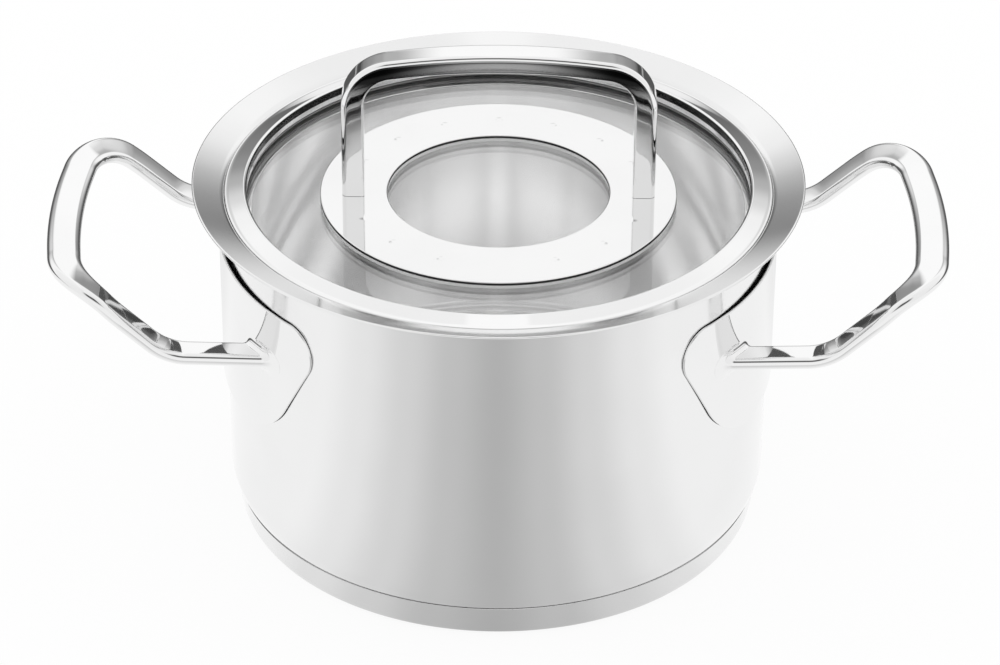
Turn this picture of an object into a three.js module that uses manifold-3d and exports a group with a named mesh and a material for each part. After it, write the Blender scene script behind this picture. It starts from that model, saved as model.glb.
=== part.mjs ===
// Stew pot with a glass lid. Millimetres, +Z up, origin at the centre of the base's underside.
// The side handles lie along X. Every sheet piece is a bent middle line with a thickness.

import * as THREE from 'three';
import { mergeVertices } from 'three/addons/utils/BufferGeometryUtils.js';
import Module from 'manifold-3d';

// Fits
const SEAT_GAP = 0.25;
const WELD_GAP = 0.3;

// Vessel: one drawn sheet with a flared pouring rim. The wall radius is outside, under the flare.
const WALL_RADIUS = 100.1;
const WALL_DRAFT = 0.1;
const VESSEL_SHEET = 1.0;
const VESSEL_HEIGHT = 136.5;
const FLARE_WIDTH = 10.9;
const FLARE_ANGLE = 18;
const FLARE_BEND = 3;
const FLOOR_CORNER = 11.5;

// Base: an aluminium core under a steel cap
const BASE_HEIGHT = 8;
const CAP_SHEET = 1.0;
const CAP_CORNER = 4.5;
const CAP_LEAN = 7;
const CAP_RIM_RISE = 5.7;
const CORE_RIM_RISE = 2.5;

// Weld pads: shields of sheet bent round the wall. Half lengths run along the wall, to sharp corners.
const PAD_THICKNESS = 1.6;
const PAD_DROP = 21.5;
const PAD_HEIGHT = 55;
const PAD_TOP_HALF_LENGTH = 96.6;
const PAD_FOOT_HALF_LENGTH = 63.3;
const PAD_TOP_CORNER = 11.2;
const PAD_FOOT_CORNER = 35;

// Side handles: flat bars bent across the corner and up to a slightly arched grip
const BAR_WIDTH = 12.2;
const BAR_THICKNESS = 4.7;
const BAR_EDGE = 2.0;
const GRIP_REACH = 57.5;
const GRIP_HALF_LENGTH = 53.4;
const GRIP_CORNER = 24.5;
const GRIP_ARCH_RADIUS = 260;
const GRIP_ARCH_ANGLE = 6.5;
const GRIP_RISE = 25.5;
const GRIP_TILT = 5;
const GRIP_BEND = 27;
const ARM_SPREAD = 55.4;
const ARM_DROP = 40.35;
const ARM_LEVEL_RUN = 17.4;
const ARM_RISE_ANGLE = 42.5;
const ARM_BEND = 17.2;

// Lid rim: a flange resting in the flare, a step down and a channel round the glass
const LID_SHEET = 0.8;
const LID_CLEARANCE = 2;
const FLANGE_OVERLAP = 0.1;
const FLANGE_WIDTH = 7.6;
const FLANGE_CROWN = 0.3;
const FLANGE_BREAK = 1.9;
const STEP_BEND = 1.5;
const CHANNEL_BEND = 0.6;
const LEDGE_WIDTH = 5;

// Glass, its bedding and the plate that carries the bow
const GLASS_THICKNESS = 4;
const GLASS_DEPTH = 5.75;
const GLASS_EDGE = 0.6;
const SEAL_THICKNESS = 0.7;
const SEAL_LIP = 2.8;
const PLATE_OUTER = 64.9;
const PLATE_INNER = 40.5;
const PLATE_THICKNESS = 1.4;
const PLATE_EDGE = 0.35;
const GASKET_THICKNESS = 0.7;
const GASKET_INSET = 1.5;
const NUB_COUNT = 16;
const NUB_RADIUS = 1.9;
const NUB_HEIGHT = 0.6;

// Bow: a bar with heavy legs and a lighter arched top, standing on the middle of the plate
const BOW_HEIGHT = 57.5;
const BOW_LEG_THICKNESS = 8.1;
const BOW_TOP_THICKNESS = 6.8;
const BOW_DEPTH = 11;
const BOW_ARCH_RADIUS = 265;
const BOW_ARCH_ANGLE = 8;
const BOW_CORNER = 15;
const BOW_OUTER_EDGE = 2.0;
const BOW_INNER_EDGE = 0.8;

// Fixings through the glass, one set under each leg
const SCREW_RADIUS = 2.5;
const SCREW_ENGAGEMENT = 9;
const SCREW_HEAD_RADIUS = 4.6;
const SCREW_HEAD_HEIGHT = 2.6;
const SCREW_KEY_WIDTH = 3;
const SCREW_KEY_DEPTH = 1.5;
const WASHER_RADIUS = 6.8;
const WASHER_THICKNESS = 1.0;
const BUSH_WALL = 1.4;
const BUSH_FLANGE_RADIUS = 7.6;
const BUSH_FLANGE_THICKNESS = 1.0;

// Facets: sides of a round piece, the most a facet may cut a bend, the longest step of a bar and the
// steps from a pad's end to its middle
const ROUND_SEGMENTS = 44;
const SMALL_SEGMENTS = 16;
const BEND_TOLERANCE = 0.12;
const BAR_STEP = 7;
const PAD_STEPS = 11;

const manifold = await Module();
manifold.setup();

const radians = THREE.MathUtils.degToRad;
const tangent = (degrees) => Math.tan(radians(degrees));
const sine = (degrees) => Math.sin(radians(degrees));
const cosine = (degrees) => Math.cos(radians(degrees));
const pointsOf = (pairs) => pairs.map(([x, y]) => new THREE.Vector2(x, y));

// Points and unit normals along a line whose inner corners, [x, y, bend radius], are rounded.
// Bends are cut by BEND_TOLERANCE at most, straight runs have a point every runStep.
function bentLine(corners, runStep = Infinity) {
  const at = corners.map(([x, y]) => new THREE.Vector2(x, y));
  const headings = at.slice(1).map((point, i) => point.clone().sub(at[i]).normalize());
  const stations = [];
  const place = (point, heading) => {
    stations.push({ point, normal: new THREE.Vector2(-heading.y, heading.x) });
  };
  const runTo = (end, heading) => {
    const start = stations.at(-1).point;
    const pieces = Math.ceil(start.distanceTo(end) / runStep) || 1;
    for (let i = 1; i <= pieces; i += 1) {
      place(start.clone().lerp(end, i / pieces), heading);
    }
  };
  place(at[0], headings[0]);
  for (let i = 1; i + 1 < at.length; i += 1) {
    const [before, after] = [headings[i - 1], headings[i]];
    const turn = Math.atan2(before.cross(after), before.dot(after));
    const bend = corners[i][2];
    const cut = bend * Math.tan(Math.abs(turn) / 2);
    runTo(at[i].clone().addScaledVector(before, -cut), before);
    const side = Math.sign(turn);
    const { point, normal } = stations.at(-1);
    const centre = point.clone().addScaledVector(normal, side * bend);
    const steps = Math.ceil(Math.abs(turn) / bendStep(bend));
    for (let k = 1; k <= steps; k += 1) {
      const heading = before.clone().rotateAround(new THREE.Vector2(), turn * k / steps);
      const outward = new THREE.Vector2(heading.y, -heading.x).multiplyScalar(side * bend);
      place(centre.clone().add(outward), heading);
    }
  }
  runTo(at.at(-1), headings.at(-1));
  return stations;
}

// Largest turn of one facet on a bend, at most an eighth of a circle.
function bendStep(bend) {
  const flat = Math.max(1 - BEND_TOLERANCE / bend, Math.cos(Math.PI / 8));
  return 2 * Math.acos(flat);
}

// Outline of a sheet of the given thickness about its middle line.
function sheetOutline(corners, thickness) {
  const stations = bentLine(corners);
  const side = (sign) => stations.map(
    ({ point, normal }) => point.clone().addScaledVector(normal, sign * thickness / 2),
  );
  return [...side(-1), ...side(1).reverse()];
}

// Outline of a flat ring, or of a disc where inner is 0, with any edge cut off its outer corners.
function discOutline(inner, outer, bottom, top, edge) {
  const below = edge > 0 ? [[outer - edge, bottom], [outer, bottom + edge]] : [[outer, bottom]];
  const above = edge > 0 ? [[outer, top - edge], [outer - edge, top]] : [[outer, top]];
  return pointsOf([[inner, bottom], ...below, ...above, [inner, top]]);
}

// Solid of revolution about Z. The outline ends on the axis or is closed on itself.
function revolve(outline, segments = ROUND_SEGMENTS) {
  const points = THREE.ShapeUtils.isClockWise(outline) ? [...outline].reverse() : [...outline];
  if (outline.every((point) => point.x > 0)) {
    points.push(points[0].clone());
  }
  return new THREE.LatheGeometry(points, segments).rotateX(Math.PI / 2);
}

// Skin over a row of like convex sections, closed at both ends.
function loft(sections) {
  const count = sections[0].length;
  const last = (sections.length - 1) * count;
  const index = [];
  for (let row = 0; row < last; row += count) {
    for (let i = 0; i < count; i += 1) {
      const next = (i + 1) % count;
      index.push(row + i, row + next, row + count + next);
      index.push(row + i, row + count + next, row + count + i);
    }
  }
  for (let i = 1; i + 1 < count; i += 1) {
    index.push(0, i + 1, i);
    index.push(last, last + i, last + i + 1);
  }
  const geometry = new THREE.BufferGeometry().setFromPoints(sections.flat());
  return geometry.setIndex(index);
}

// Rectangle width by thickness with rounded corners, upper and lower radii apart, counterclockwise.
function barSection(width, thickness, upperEdge, lowerEdge) {
  const shape = new THREE.Shape();
  const [right, top] = [width / 2, thickness / 2];
  shape.absarc(right - upperEdge, top - upperEdge, upperEdge, 0, Math.PI / 2);
  shape.absarc(upperEdge - right, top - upperEdge, upperEdge, Math.PI / 2, Math.PI);
  shape.absarc(lowerEdge - right, lowerEdge - top, lowerEdge, Math.PI, 1.5 * Math.PI);
  shape.absarc(right - lowerEdge, lowerEdge - top, lowerEdge, 1.5 * Math.PI, 2 * Math.PI);
  const arcPieces = 2;
  return shape.curves.flatMap((curve) => (
    curve.isEllipseCurve ? curve.getPoints(arcPieces) : []
  ));
}

// Section points set out from a centre along two directions.
function placeSection(section, centre, across, outward) {
  return section.map(({ x, y }) => (
    centre.clone().addScaledVector(across, x).addScaledVector(outward, y)
  ));
}

// Body for joining and cutting, from a closed geometry.
function bodyOf(geometry) {
  const bare = geometry.clone();
  bare.deleteAttribute('normal');
  bare.deleteAttribute('uv');
  const merged = mergeVertices(bare);
  const corners = merged.index.array;
  const kept = [];
  for (let i = 0; i < corners.length; i += 3) {
    const [a, b, c] = [corners[i], corners[i + 1], corners[i + 2]];
    if (a !== b && b !== c && c !== a) {
      kept.push(a, b, c);
    }
  }
  const vertProperties = merged.attributes.position.array;
  const triVerts = Uint32Array.from(kept);
  return new manifold.Manifold(new manifold.Mesh({ numProp: 3, vertProperties, triVerts }));
}

function geometryOf(body) {
  const { vertProperties, triVerts } = body.getMesh();
  const geometry = new THREE.BufferGeometry();
  geometry.setAttribute('position', new THREE.BufferAttribute(vertProperties, 3));
  return geometry.setIndex(new THREE.BufferAttribute(triVerts, 1));
}

// Geometry with tools taken away from it.
function cut(geometry, tools) {
  return geometryOf(tools.reduce((body, tool) => body.subtract(bodyOf(tool)), bodyOf(geometry)));
}

// Upright cylinder between two heights.
function upright(radius, bottom, top, segments = SMALL_SEGMENTS) {
  const cylinder = new THREE.CylinderGeometry(radius, radius, top - bottom, segments);
  return cylinder.rotateX(Math.PI / 2).translate(0, 0, (top + bottom) / 2);
}

const polished = { color: 0xd9dadb, metalness: 1, roughness: 0.12 };
const satin = { color: 0xc9cacb, metalness: 1, roughness: 0.32 };
const aluminium = { color: 0xb4b6b8, metalness: 1, roughness: 0.5 };
const glass = { color: 0xeef2f1, metalness: 0, roughness: 0.03, transparent: true, opacity: 0.3 };
const silicone = { color: 0xc4c6c6, metalness: 0, roughness: 0.6 };

const pot = new THREE.Group();
const lid = new THREE.Group();

function addPiece(group, name, geometry, finish) {
  const piece = new THREE.Mesh(geometry, new THREE.MeshStandardMaterial(finish));
  piece.name = name;
  group.add(piece);
}

// Vessel. The middle line runs from the axis along the floor, up the wall and out along the flare.
const rimRadius = WALL_RADIUS + FLARE_WIDTH;
const lipRadius = rimRadius - VESSEL_SHEET / 2 * sine(FLARE_ANGLE);
const lipHeight = VESSEL_HEIGHT - VESSEL_SHEET / 2 * cosine(FLARE_ANGLE);
const flareFoot = lipHeight - (lipRadius - WALL_RADIUS + VESSEL_SHEET / 2) * tangent(FLARE_ANGLE);
const floorRadius = WALL_RADIUS - (flareFoot - BASE_HEIGHT) * tangent(WALL_DRAFT);

function vessel() {
  const line = [
    [0, BASE_HEIGHT + VESSEL_SHEET / 2],
    [floorRadius - VESSEL_SHEET / 2, BASE_HEIGHT + VESSEL_SHEET / 2, FLOOR_CORNER],
    [WALL_RADIUS - VESSEL_SHEET / 2, flareFoot, FLARE_BEND],
    [lipRadius, lipHeight],
  ];
  return revolve(sheetOutline(line, VESSEL_SHEET));
}

// The vessel's outside below the flare, grown by a gap.
function vesselEnvelope(gap) {
  const line = [
    [0, BASE_HEIGHT - gap],
    [floorRadius + gap, BASE_HEIGHT - gap, FLOOR_CORNER + VESSEL_SHEET / 2 + gap],
    [WALL_RADIUS + gap, flareFoot],
  ];
  const outline = bentLine(line).map(({ point }) => point);
  outline.push(new THREE.Vector2(0, flareFoot));
  return revolve(outline);
}

// Base cap: a shallow cup whose leaning side ends flush on the vessel's floor corner.
const cornerOutside = FLOOR_CORNER + VESSEL_SHEET / 2;
const seamReach = Math.sqrt(cornerOutside ** 2 - (cornerOutside - CAP_RIM_RISE) ** 2);
const seamRadius = floorRadius - cornerOutside + seamReach;
const seamHeight = BASE_HEIGHT + CAP_RIM_RISE;
const capFoot = seamRadius - seamHeight * tangent(CAP_LEAN) - CAP_SHEET / 2;

// Cup line, set back from the cap's middle line by shrink, up to a height.
function cupLine(shrink, top) {
  const bottom = CAP_SHEET / 2 + shrink;
  return [
    [0, bottom],
    [capFoot + bottom * tangent(CAP_LEAN) - shrink, bottom, CAP_CORNER - shrink],
    [capFoot + top * tangent(CAP_LEAN) - shrink, top],
  ];
}

function baseCap() {
  const cup = revolve(sheetOutline(cupLine(0, seamHeight), CAP_SHEET));
  return cut(cup, [vesselEnvelope(SEAT_GAP)]);
}

// Core: fills the cap up to the floor, with a rim pressed up round the floor corner.
function baseCore() {
  const top = BASE_HEIGHT + CORE_RIM_RISE;
  const outline = bentLine(cupLine(CAP_SHEET / 2 + SEAT_GAP, top)).map(({ point }) => point);
  outline.push(new THREE.Vector2(0, top));
  return cut(revolve(outline), [vesselEnvelope(SEAT_GAP)]);
}

// Height and upward normal, at a reach, of a line that is drawn as reach and height.
function stationAt(stations, reach) {
  const next = stations.findIndex(({ point }) => point.x > reach);
  const [a, b] = [stations[next - 1], stations[next]];
  const share = (reach - a.point.x) / (b.point.x - a.point.x);
  const slope = a.normal.clone().lerp(b.normal, share).normalize();
  return {
    height: THREE.MathUtils.lerp(a.point.y, b.point.y, share),
    up: new THREE.Vector3(slope.x, 0, slope.y),
  };
}

// Weld pad: the part of a shell round the wall that a shield cuts out. The shield is a row of upright
// slices through the axis, as high at each reach along the wall as the pad laid out flat.
function weldPad() {
  const outside = WELD_GAP + PAD_THICKNESS;
  const padTop = VESSEL_HEIGHT - PAD_DROP;
  const half = bentLine([
    [0, padTop - PAD_HEIGHT],
    [PAD_FOOT_HALF_LENGTH, padTop - PAD_HEIGHT, PAD_FOOT_CORNER],
    [PAD_TOP_HALF_LENGTH, padTop, PAD_TOP_CORNER],
    [0, padTop],
  ]);
  const tip = half.reduce((best, { point }, i) => (point.x > half[best].point.x ? i : best), 0);
  const [lower, upper] = [half.slice(0, tip + 1), half.slice(tip).reverse()];
  const axis = new THREE.Vector3(0, 0, 1);
  const slices = [];
  for (let k = 1; k < 2 * PAD_STEPS; k += 1) {
    const reach = -half[tip].point.x * Math.cos(Math.PI * k / (2 * PAD_STEPS));
    const low = stationAt(lower, Math.abs(reach)).height;
    const high = stationAt(upper, Math.abs(reach)).height;
    const [near, far] = [WALL_RADIUS - PAD_THICKNESS, WALL_RADIUS + 2 * outside];
    slices.push([[near, low], [near, high], [far, high], [far, low]].map(([radius, height]) => (
      new THREE.Vector3(radius, 0, height).applyAxisAngle(axis, reach / (WALL_RADIUS + outside))
    )));
  }
  const shell = bodyOf(vesselEnvelope(outside)).subtract(bodyOf(vesselEnvelope(WELD_GAP)));
  return geometryOf(shell.intersect(bodyOf(loft(slices))));
}

// Side handle. The plan line gives reach and spread, the side line gives the height of the top face
// at each reach, and the bar's flat face follows the slope of the side line.
const gripReach = WALL_RADIUS + GRIP_REACH;
const armTop = VESSEL_HEIGHT - ARM_DROP;
const gripTop = armTop + GRIP_RISE;
const riseStart = WALL_RADIUS + ARM_LEVEL_RUN;
const riseGain = tangent(ARM_RISE_ANGLE) - tangent(GRIP_TILT);
const riseRun = (GRIP_RISE - (gripReach - riseStart) * tangent(GRIP_TILT)) / riseGain;

function handleSideLine() {
  const beyond = gripReach + BAR_WIDTH;
  return bentLine([
    [0, armTop],
    [riseStart, armTop, ARM_BEND],
    [riseStart + riseRun, armTop + riseRun * tangent(ARM_RISE_ANGLE), GRIP_BEND],
    [beyond, gripTop + BAR_WIDTH * tangent(GRIP_TILT)],
  ]);
}

function sideHandle() {
  const rootReach = Math.sqrt(WALL_RADIUS ** 2 - ARM_SPREAD ** 2) - BAR_WIDTH;
  const apex = gripReach + GRIP_ARCH_RADIUS * (1 / cosine(GRIP_ARCH_ANGLE) - 1);
  const cornerReach = apex - GRIP_HALF_LENGTH * tangent(GRIP_ARCH_ANGLE);
  const plan = bentLine([
    [rootReach, -ARM_SPREAD],
    [cornerReach, -GRIP_HALF_LENGTH, GRIP_CORNER],
    [apex, 0, GRIP_ARCH_RADIUS],
    [cornerReach, GRIP_HALF_LENGTH, GRIP_CORNER],
    [rootReach, ARM_SPREAD],
  ], BAR_STEP);
  const side = handleSideLine();
  const section = barSection(BAR_WIDTH, BAR_THICKNESS, BAR_EDGE, BAR_EDGE);
  const sections = plan.map(({ point, normal }) => {
    const { height, up } = stationAt(side, point.x);
    const climb = -normal.y * up.x / up.z;
    const heading = new THREE.Vector3(normal.y, -normal.x, climb).normalize();
    const across = up.clone().cross(heading);
    const centre = new THREE.Vector3(point.x, point.y, height);
    centre.addScaledVector(up, -BAR_THICKNESS / 2);
    return placeSection(section, centre, across, up);
  });
  return cut(loft(sections), [vesselEnvelope(2 * WELD_GAP + PAD_THICKNESS)]);
}

// Lid rim. From the flange's tip inwards, down the step, out over the glass and back under it.
const flareBendRadius = WALL_RADIUS - VESSEL_SHEET / 2 + FLARE_BEND;
const flareBendHeight = flareFoot - FLARE_BEND * tangent((90 - FLARE_ANGLE) / 2);
const tipRadius = WALL_RADIUS - VESSEL_SHEET + FLANGE_OVERLAP;
const tipReach = FLARE_BEND + VESSEL_SHEET / 2 + SEAT_GAP + LID_SHEET / 2;
const tipHeight = flareBendHeight + Math.sqrt(tipReach ** 2 - (flareBendRadius - tipRadius) ** 2);
const flangeHeight = tipHeight + FLANGE_CROWN;
const glassTop = flangeHeight + LID_SHEET / 2 - GLASS_DEPTH;
const glassBottom = glassTop - GLASS_THICKNESS;
const bedding = 2 * SEAT_GAP + SEAL_THICKNESS;
const channelRadius = WALL_RADIUS - VESSEL_SHEET - LID_CLEARANCE - LID_SHEET / 2;
const channelTop = glassTop + bedding + LID_SHEET / 2;
const channelBottom = glassBottom - bedding - LID_SHEET / 2;
const glassRadius = channelRadius - LID_SHEET / 2 - bedding;

function lidRim() {
  const stepRadius = tipRadius - FLANGE_WIDTH + LID_SHEET / 2;
  const line = [
    [tipRadius, tipHeight],
    [tipRadius - FLANGE_BREAK, flangeHeight, STEP_BEND],
    [stepRadius, flangeHeight, STEP_BEND],
    [stepRadius, channelTop, CHANNEL_BEND],
    [channelRadius, channelTop, CHANNEL_BEND],
    [channelRadius, channelBottom, CHANNEL_BEND],
    [glassRadius - LEDGE_WIDTH, channelBottom],
  ];
  return revolve(sheetOutline(line, LID_SHEET));
}

// Seal: a moulded channel that wraps the edge of the glass.
function glassSeal() {
  const inside = SEAT_GAP;
  const outside = SEAT_GAP + SEAL_THICKNESS;
  const lip = glassRadius - SEAL_LIP;
  const outline = [
    [lip, glassTop + inside],
    [glassRadius + inside, glassTop + inside],
    [glassRadius + inside, glassBottom - inside],
    [lip, glassBottom - inside],
    [lip, glassBottom - outside],
    [glassRadius + outside, glassBottom - outside],
    [glassRadius + outside, glassTop + outside],
    [lip, glassTop + outside],
  ];
  return revolve(pointsOf(outline));
}

// The legs, and with them the fixings, stand on the middle of the plate, on both sides.
const legLine = (PLATE_INNER + PLATE_OUTER) / 2;
const bushBore = SCREW_RADIUS + SEAT_GAP;
const bushRadius = bushBore + BUSH_WALL;
const gasketBottom = glassTop + SEAT_GAP;
const plateBottom = gasketBottom + GASKET_THICKNESS + SEAT_GAP;
const plateTop = plateBottom + PLATE_THICKNESS;
const bowFoot = plateTop + SEAT_GAP;

// A pair of upright holes under the two legs.
function legHoles(radius, bottom, top) {
  return [-legLine, legLine].map((x) => upright(radius, bottom, top).translate(x, 0, 0));
}

function lidGlass() {
  const rim = discOutline(0, glassRadius, glassBottom, glassTop, GLASS_EDGE);
  const overrun = GLASS_THICKNESS;
  const holes = legHoles(bushRadius + SEAT_GAP, glassBottom - overrun, glassTop + overrun);
  return cut(revolve(rim), holes);
}

function plateGasket() {
  const inner = PLATE_INNER + GASKET_INSET;
  const outer = PLATE_OUTER - GASKET_INSET;
  const top = gasketBottom + GASKET_THICKNESS;
  const ring = revolve(discOutline(inner, outer, gasketBottom, top, 0));
  const overrun = GASKET_THICKNESS;
  return cut(ring, legHoles(bushRadius + SEAT_GAP, gasketBottom - overrun, top + overrun));
}

// Plate with a ring of pressed nubs. None stands under a leg or on the front, which stays plain.
function handlePlate() {
  const ring = revolve(discOutline(PLATE_INNER, PLATE_OUTER, plateBottom, plateTop, PLATE_EDGE));
  const overrun = PLATE_THICKNESS;
  const holes = legHoles(bushBore, plateBottom - overrun, plateTop + overrun);
  const pitch = 2 * Math.PI / NUB_COUNT;
  const plain = [0, NUB_COUNT / 2, 3 * NUB_COUNT / 4];
  let body = bodyOf(cut(ring, holes));
  for (let i = 0; i < NUB_COUNT; i += 1) {
    if (!plain.includes(i)) {
      const nub = nubSolid().translate(legLine * Math.cos(i * pitch), legLine * Math.sin(i * pitch), 0);
      body = body.add(bodyOf(nub));
    }
  }
  return geometryOf(body);
}

// Shallow dome on the plate, carried down into it.
function nubSolid() {
  const ballRadius = (NUB_RADIUS ** 2 + NUB_HEIGHT ** 2) / (2 * NUB_HEIGHT);
  const ballAngle = Math.asin(NUB_RADIUS / ballRadius);
  const root = plateTop - PLATE_THICKNESS / 2;
  const outline = [[0, root], [NUB_RADIUS, root]];
  for (const share of [1, 0.5, 0]) {
    const drop = ballRadius * (1 - Math.cos(ballAngle * share));
    outline.push([ballRadius * Math.sin(ballAngle * share), plateTop + NUB_HEIGHT - drop]);
  }
  return revolve(pointsOf(outline), SMALL_SEGMENTS / 2);
}

// Bow. The middle line is an arch between two legs, and the bar grows heavier down the corners.
function lidBow() {
  const crown = plateTop + BOW_HEIGHT - BOW_TOP_THICKNESS / 2;
  const apex = crown + BOW_ARCH_RADIUS * (1 / cosine(BOW_ARCH_ANGLE) - 1);
  const shoulder = apex - legLine * tangent(BOW_ARCH_ANGLE);
  const stations = bentLine([
    [-legLine, bowFoot],
    [-legLine, shoulder, BOW_CORNER],
    [0, apex, BOW_ARCH_RADIUS],
    [legLine, shoulder, BOW_CORNER],
    [legLine, bowFoot],
  ], BAR_STEP);
  const across = new THREE.Vector3(0, 1, 0);
  const sections = stations.map(({ point, normal }) => {
    const rise = THREE.MathUtils.smoothstep(point.y, shoulder - BOW_CORNER, crown);
    const thickness = THREE.MathUtils.lerp(BOW_LEG_THICKNESS, BOW_TOP_THICKNESS, rise);
    const section = barSection(BOW_DEPTH, thickness, BOW_OUTER_EDGE, BOW_INNER_EDGE);
    const centre = new THREE.Vector3(point.x, 0, point.y);
    return placeSection(section, centre, across, new THREE.Vector3(normal.x, 0, normal.y));
  });
  const boreTop = bowFoot + SCREW_ENGAGEMENT + SEAT_GAP;
  return cut(loft(sections), legHoles(bushBore, bowFoot - SCREW_ENGAGEMENT, boreTop));
}

// Fixings, from the glass down: a silicone bush in the hole, a washer and a socket screw.
const bushFlangeTop = glassBottom - SEAT_GAP;
const bushFlangeBottom = bushFlangeTop - BUSH_FLANGE_THICKNESS;
const washerTop = bushFlangeBottom - SEAT_GAP;
const washerBottom = washerTop - WASHER_THICKNESS;
const headTop = washerBottom - SEAT_GAP;
const headBottom = headTop - SCREW_HEAD_HEIGHT;

function glassBush() {
  const outline = [
    [bushBore, bushFlangeBottom],
    [BUSH_FLANGE_RADIUS, bushFlangeBottom],
    [BUSH_FLANGE_RADIUS, bushFlangeTop],
    [bushRadius, bushFlangeTop],
    [bushRadius, plateBottom - SEAT_GAP],
    [bushBore, plateBottom - SEAT_GAP],
  ];
  return revolve(pointsOf(outline), SMALL_SEGMENTS);
}

function screwWasher() {
  const edge = WASHER_THICKNESS / 4;
  return revolve(discOutline(bushBore, WASHER_RADIUS, washerBottom, washerTop, edge), SMALL_SEGMENTS);
}

function handleScrew() {
  const tip = bowFoot + SCREW_ENGAGEMENT;
  const headEdge = SCREW_HEAD_HEIGHT / 3;
  const outline = [
    [0, headBottom],
    [SCREW_HEAD_RADIUS - headEdge, headBottom],
    [SCREW_HEAD_RADIUS, headBottom + headEdge],
    [SCREW_HEAD_RADIUS, headTop],
    [SCREW_RADIUS, headTop],
    [SCREW_RADIUS, tip],
    [0, tip],
  ];
  const screw = revolve(pointsOf(outline), SMALL_SEGMENTS);
  const keyRadius = SCREW_KEY_WIDTH / Math.sqrt(3);
  const keySides = 6;
  const socketBottom = headBottom - SCREW_KEY_DEPTH;
  return cut(screw, [upright(keyRadius, socketBottom, headBottom + SCREW_KEY_DEPTH, keySides)]);
}

addPiece(pot, 'vessel', vessel(), polished);
addPiece(pot, 'base_core', baseCore(), aluminium);
addPiece(pot, 'base_cap', baseCap(), satin);
addPiece(pot, 'right_handle_pad', weldPad(), polished);
addPiece(pot, 'left_handle_pad', weldPad().rotateZ(Math.PI), polished);
addPiece(pot, 'right_handle', sideHandle(), polished);
addPiece(pot, 'left_handle', sideHandle().rotateZ(Math.PI), polished);
addPiece(lid, 'lid_rim', lidRim(), polished);
addPiece(lid, 'glass_seal', glassSeal(), silicone);
addPiece(lid, 'lid_glass', lidGlass(), glass);
addPiece(lid, 'plate_gasket', plateGasket(), silicone);
addPiece(lid, 'handle_plate', handlePlate(), polished);
addPiece(lid, 'lid_bow', lidBow(), polished);
for (const [side, x] of [['left', -legLine], ['right', legLine]]) {
  addPiece(lid, `${side}_glass_bush`, glassBush().translate(x, 0, 0), silicone);
  addPiece(lid, `${side}_screw_washer`, screwWasher().translate(x, 0, 0), satin);
  addPiece(lid, `${side}_handle_screw`, handleScrew().translate(x, 0, 0), satin);
}

const stewPot = new THREE.Group();
stewPot.add(pot, lid);

export default stewPot;
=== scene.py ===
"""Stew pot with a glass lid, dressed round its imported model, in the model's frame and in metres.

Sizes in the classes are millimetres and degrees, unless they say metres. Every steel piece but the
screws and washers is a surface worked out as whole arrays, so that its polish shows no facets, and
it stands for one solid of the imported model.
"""

import logging
import math
from dataclasses import dataclass
from enum import Enum
from functools import cache
from typing import Sequence

import bpy
import numpy as np
from mathutils import Matrix


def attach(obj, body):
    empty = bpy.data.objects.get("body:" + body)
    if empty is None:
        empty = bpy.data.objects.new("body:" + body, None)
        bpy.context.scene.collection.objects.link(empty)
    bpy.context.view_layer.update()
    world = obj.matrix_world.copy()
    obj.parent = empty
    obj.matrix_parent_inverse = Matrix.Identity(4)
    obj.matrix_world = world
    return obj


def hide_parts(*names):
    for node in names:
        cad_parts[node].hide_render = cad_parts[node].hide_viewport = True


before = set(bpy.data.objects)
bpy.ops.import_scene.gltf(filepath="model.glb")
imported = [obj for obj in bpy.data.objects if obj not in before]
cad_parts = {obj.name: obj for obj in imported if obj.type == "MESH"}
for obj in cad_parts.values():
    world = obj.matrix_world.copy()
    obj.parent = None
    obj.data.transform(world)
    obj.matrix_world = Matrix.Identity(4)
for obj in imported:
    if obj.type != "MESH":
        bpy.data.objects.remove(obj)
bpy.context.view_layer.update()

LOG = logging.getLogger("stew_pot")
MM = 0.001
# Lengths under CLOSE count as none. TINY keeps a rounding and a division safe.
CLOSE = 1e-6
TINY = 1e-9
# Colour ramps hold greys up to 1, so levels go through them divided by RAMP_TOP.
RAMP_TOP = 2.0
HALF_ROUND_POINTS = 13
CORNER_POINTS = 11

Stops = tuple[tuple[float, float], ...]
Span = tuple[float, float]
Colour = tuple[float, float, float]
Socket = bpy.types.NodeSocket
Object = bpy.types.Object


# Lines and surfaces


def unit(vectors: np.ndarray) -> np.ndarray:
    """Vectors brought to length 1."""
    return vectors / np.linalg.norm(vectors, axis=-1, keepdims=True)


def on_circle(angles: np.ndarray) -> np.ndarray:
    """Points of the unit circle at angles."""
    return np.stack((np.cos(angles), np.sin(angles)), axis=-1)


def left_of(headings: np.ndarray) -> np.ndarray:
    """Unit vectors a quarter turn to the left of headings in a plane."""
    return np.stack((-headings[..., 1], headings[..., 0]), axis=-1)


def level(pairs: np.ndarray) -> np.ndarray:
    """Pairs of X and Y with a Z of 0."""
    return np.concatenate((pairs, np.zeros_like(pairs[..., :1])), axis=-1)


def tan_of(degrees: float) -> float:
    """Tangent of an angle in degrees."""
    return math.tan(math.radians(degrees))


@dataclass(frozen=True)
class Line:
    """A row of points in a plane, with the outward unit normal at each point."""

    points: np.ndarray
    normals: np.ndarray

    def __getitem__(self, rows: slice | np.ndarray) -> "Line":
        """Part of the line."""
        return Line(self.points[rows], self.normals[rows])

    def offset(self, distance: float) -> "Line":
        """The line moved along its normals."""
        return Line(self.points + self.normals * distance, self.normals)

    def flipped(self) -> "Line":
        """The line with its normals on the other side."""
        return Line(self.points, -self.normals)

    @staticmethod
    def joined(*lines: "Line") -> "Line":
        """One line out of several, end to end."""
        return Line(
            np.concatenate([line.points for line in lines]),
            np.concatenate([line.normals for line in lines]),
        )


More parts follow.
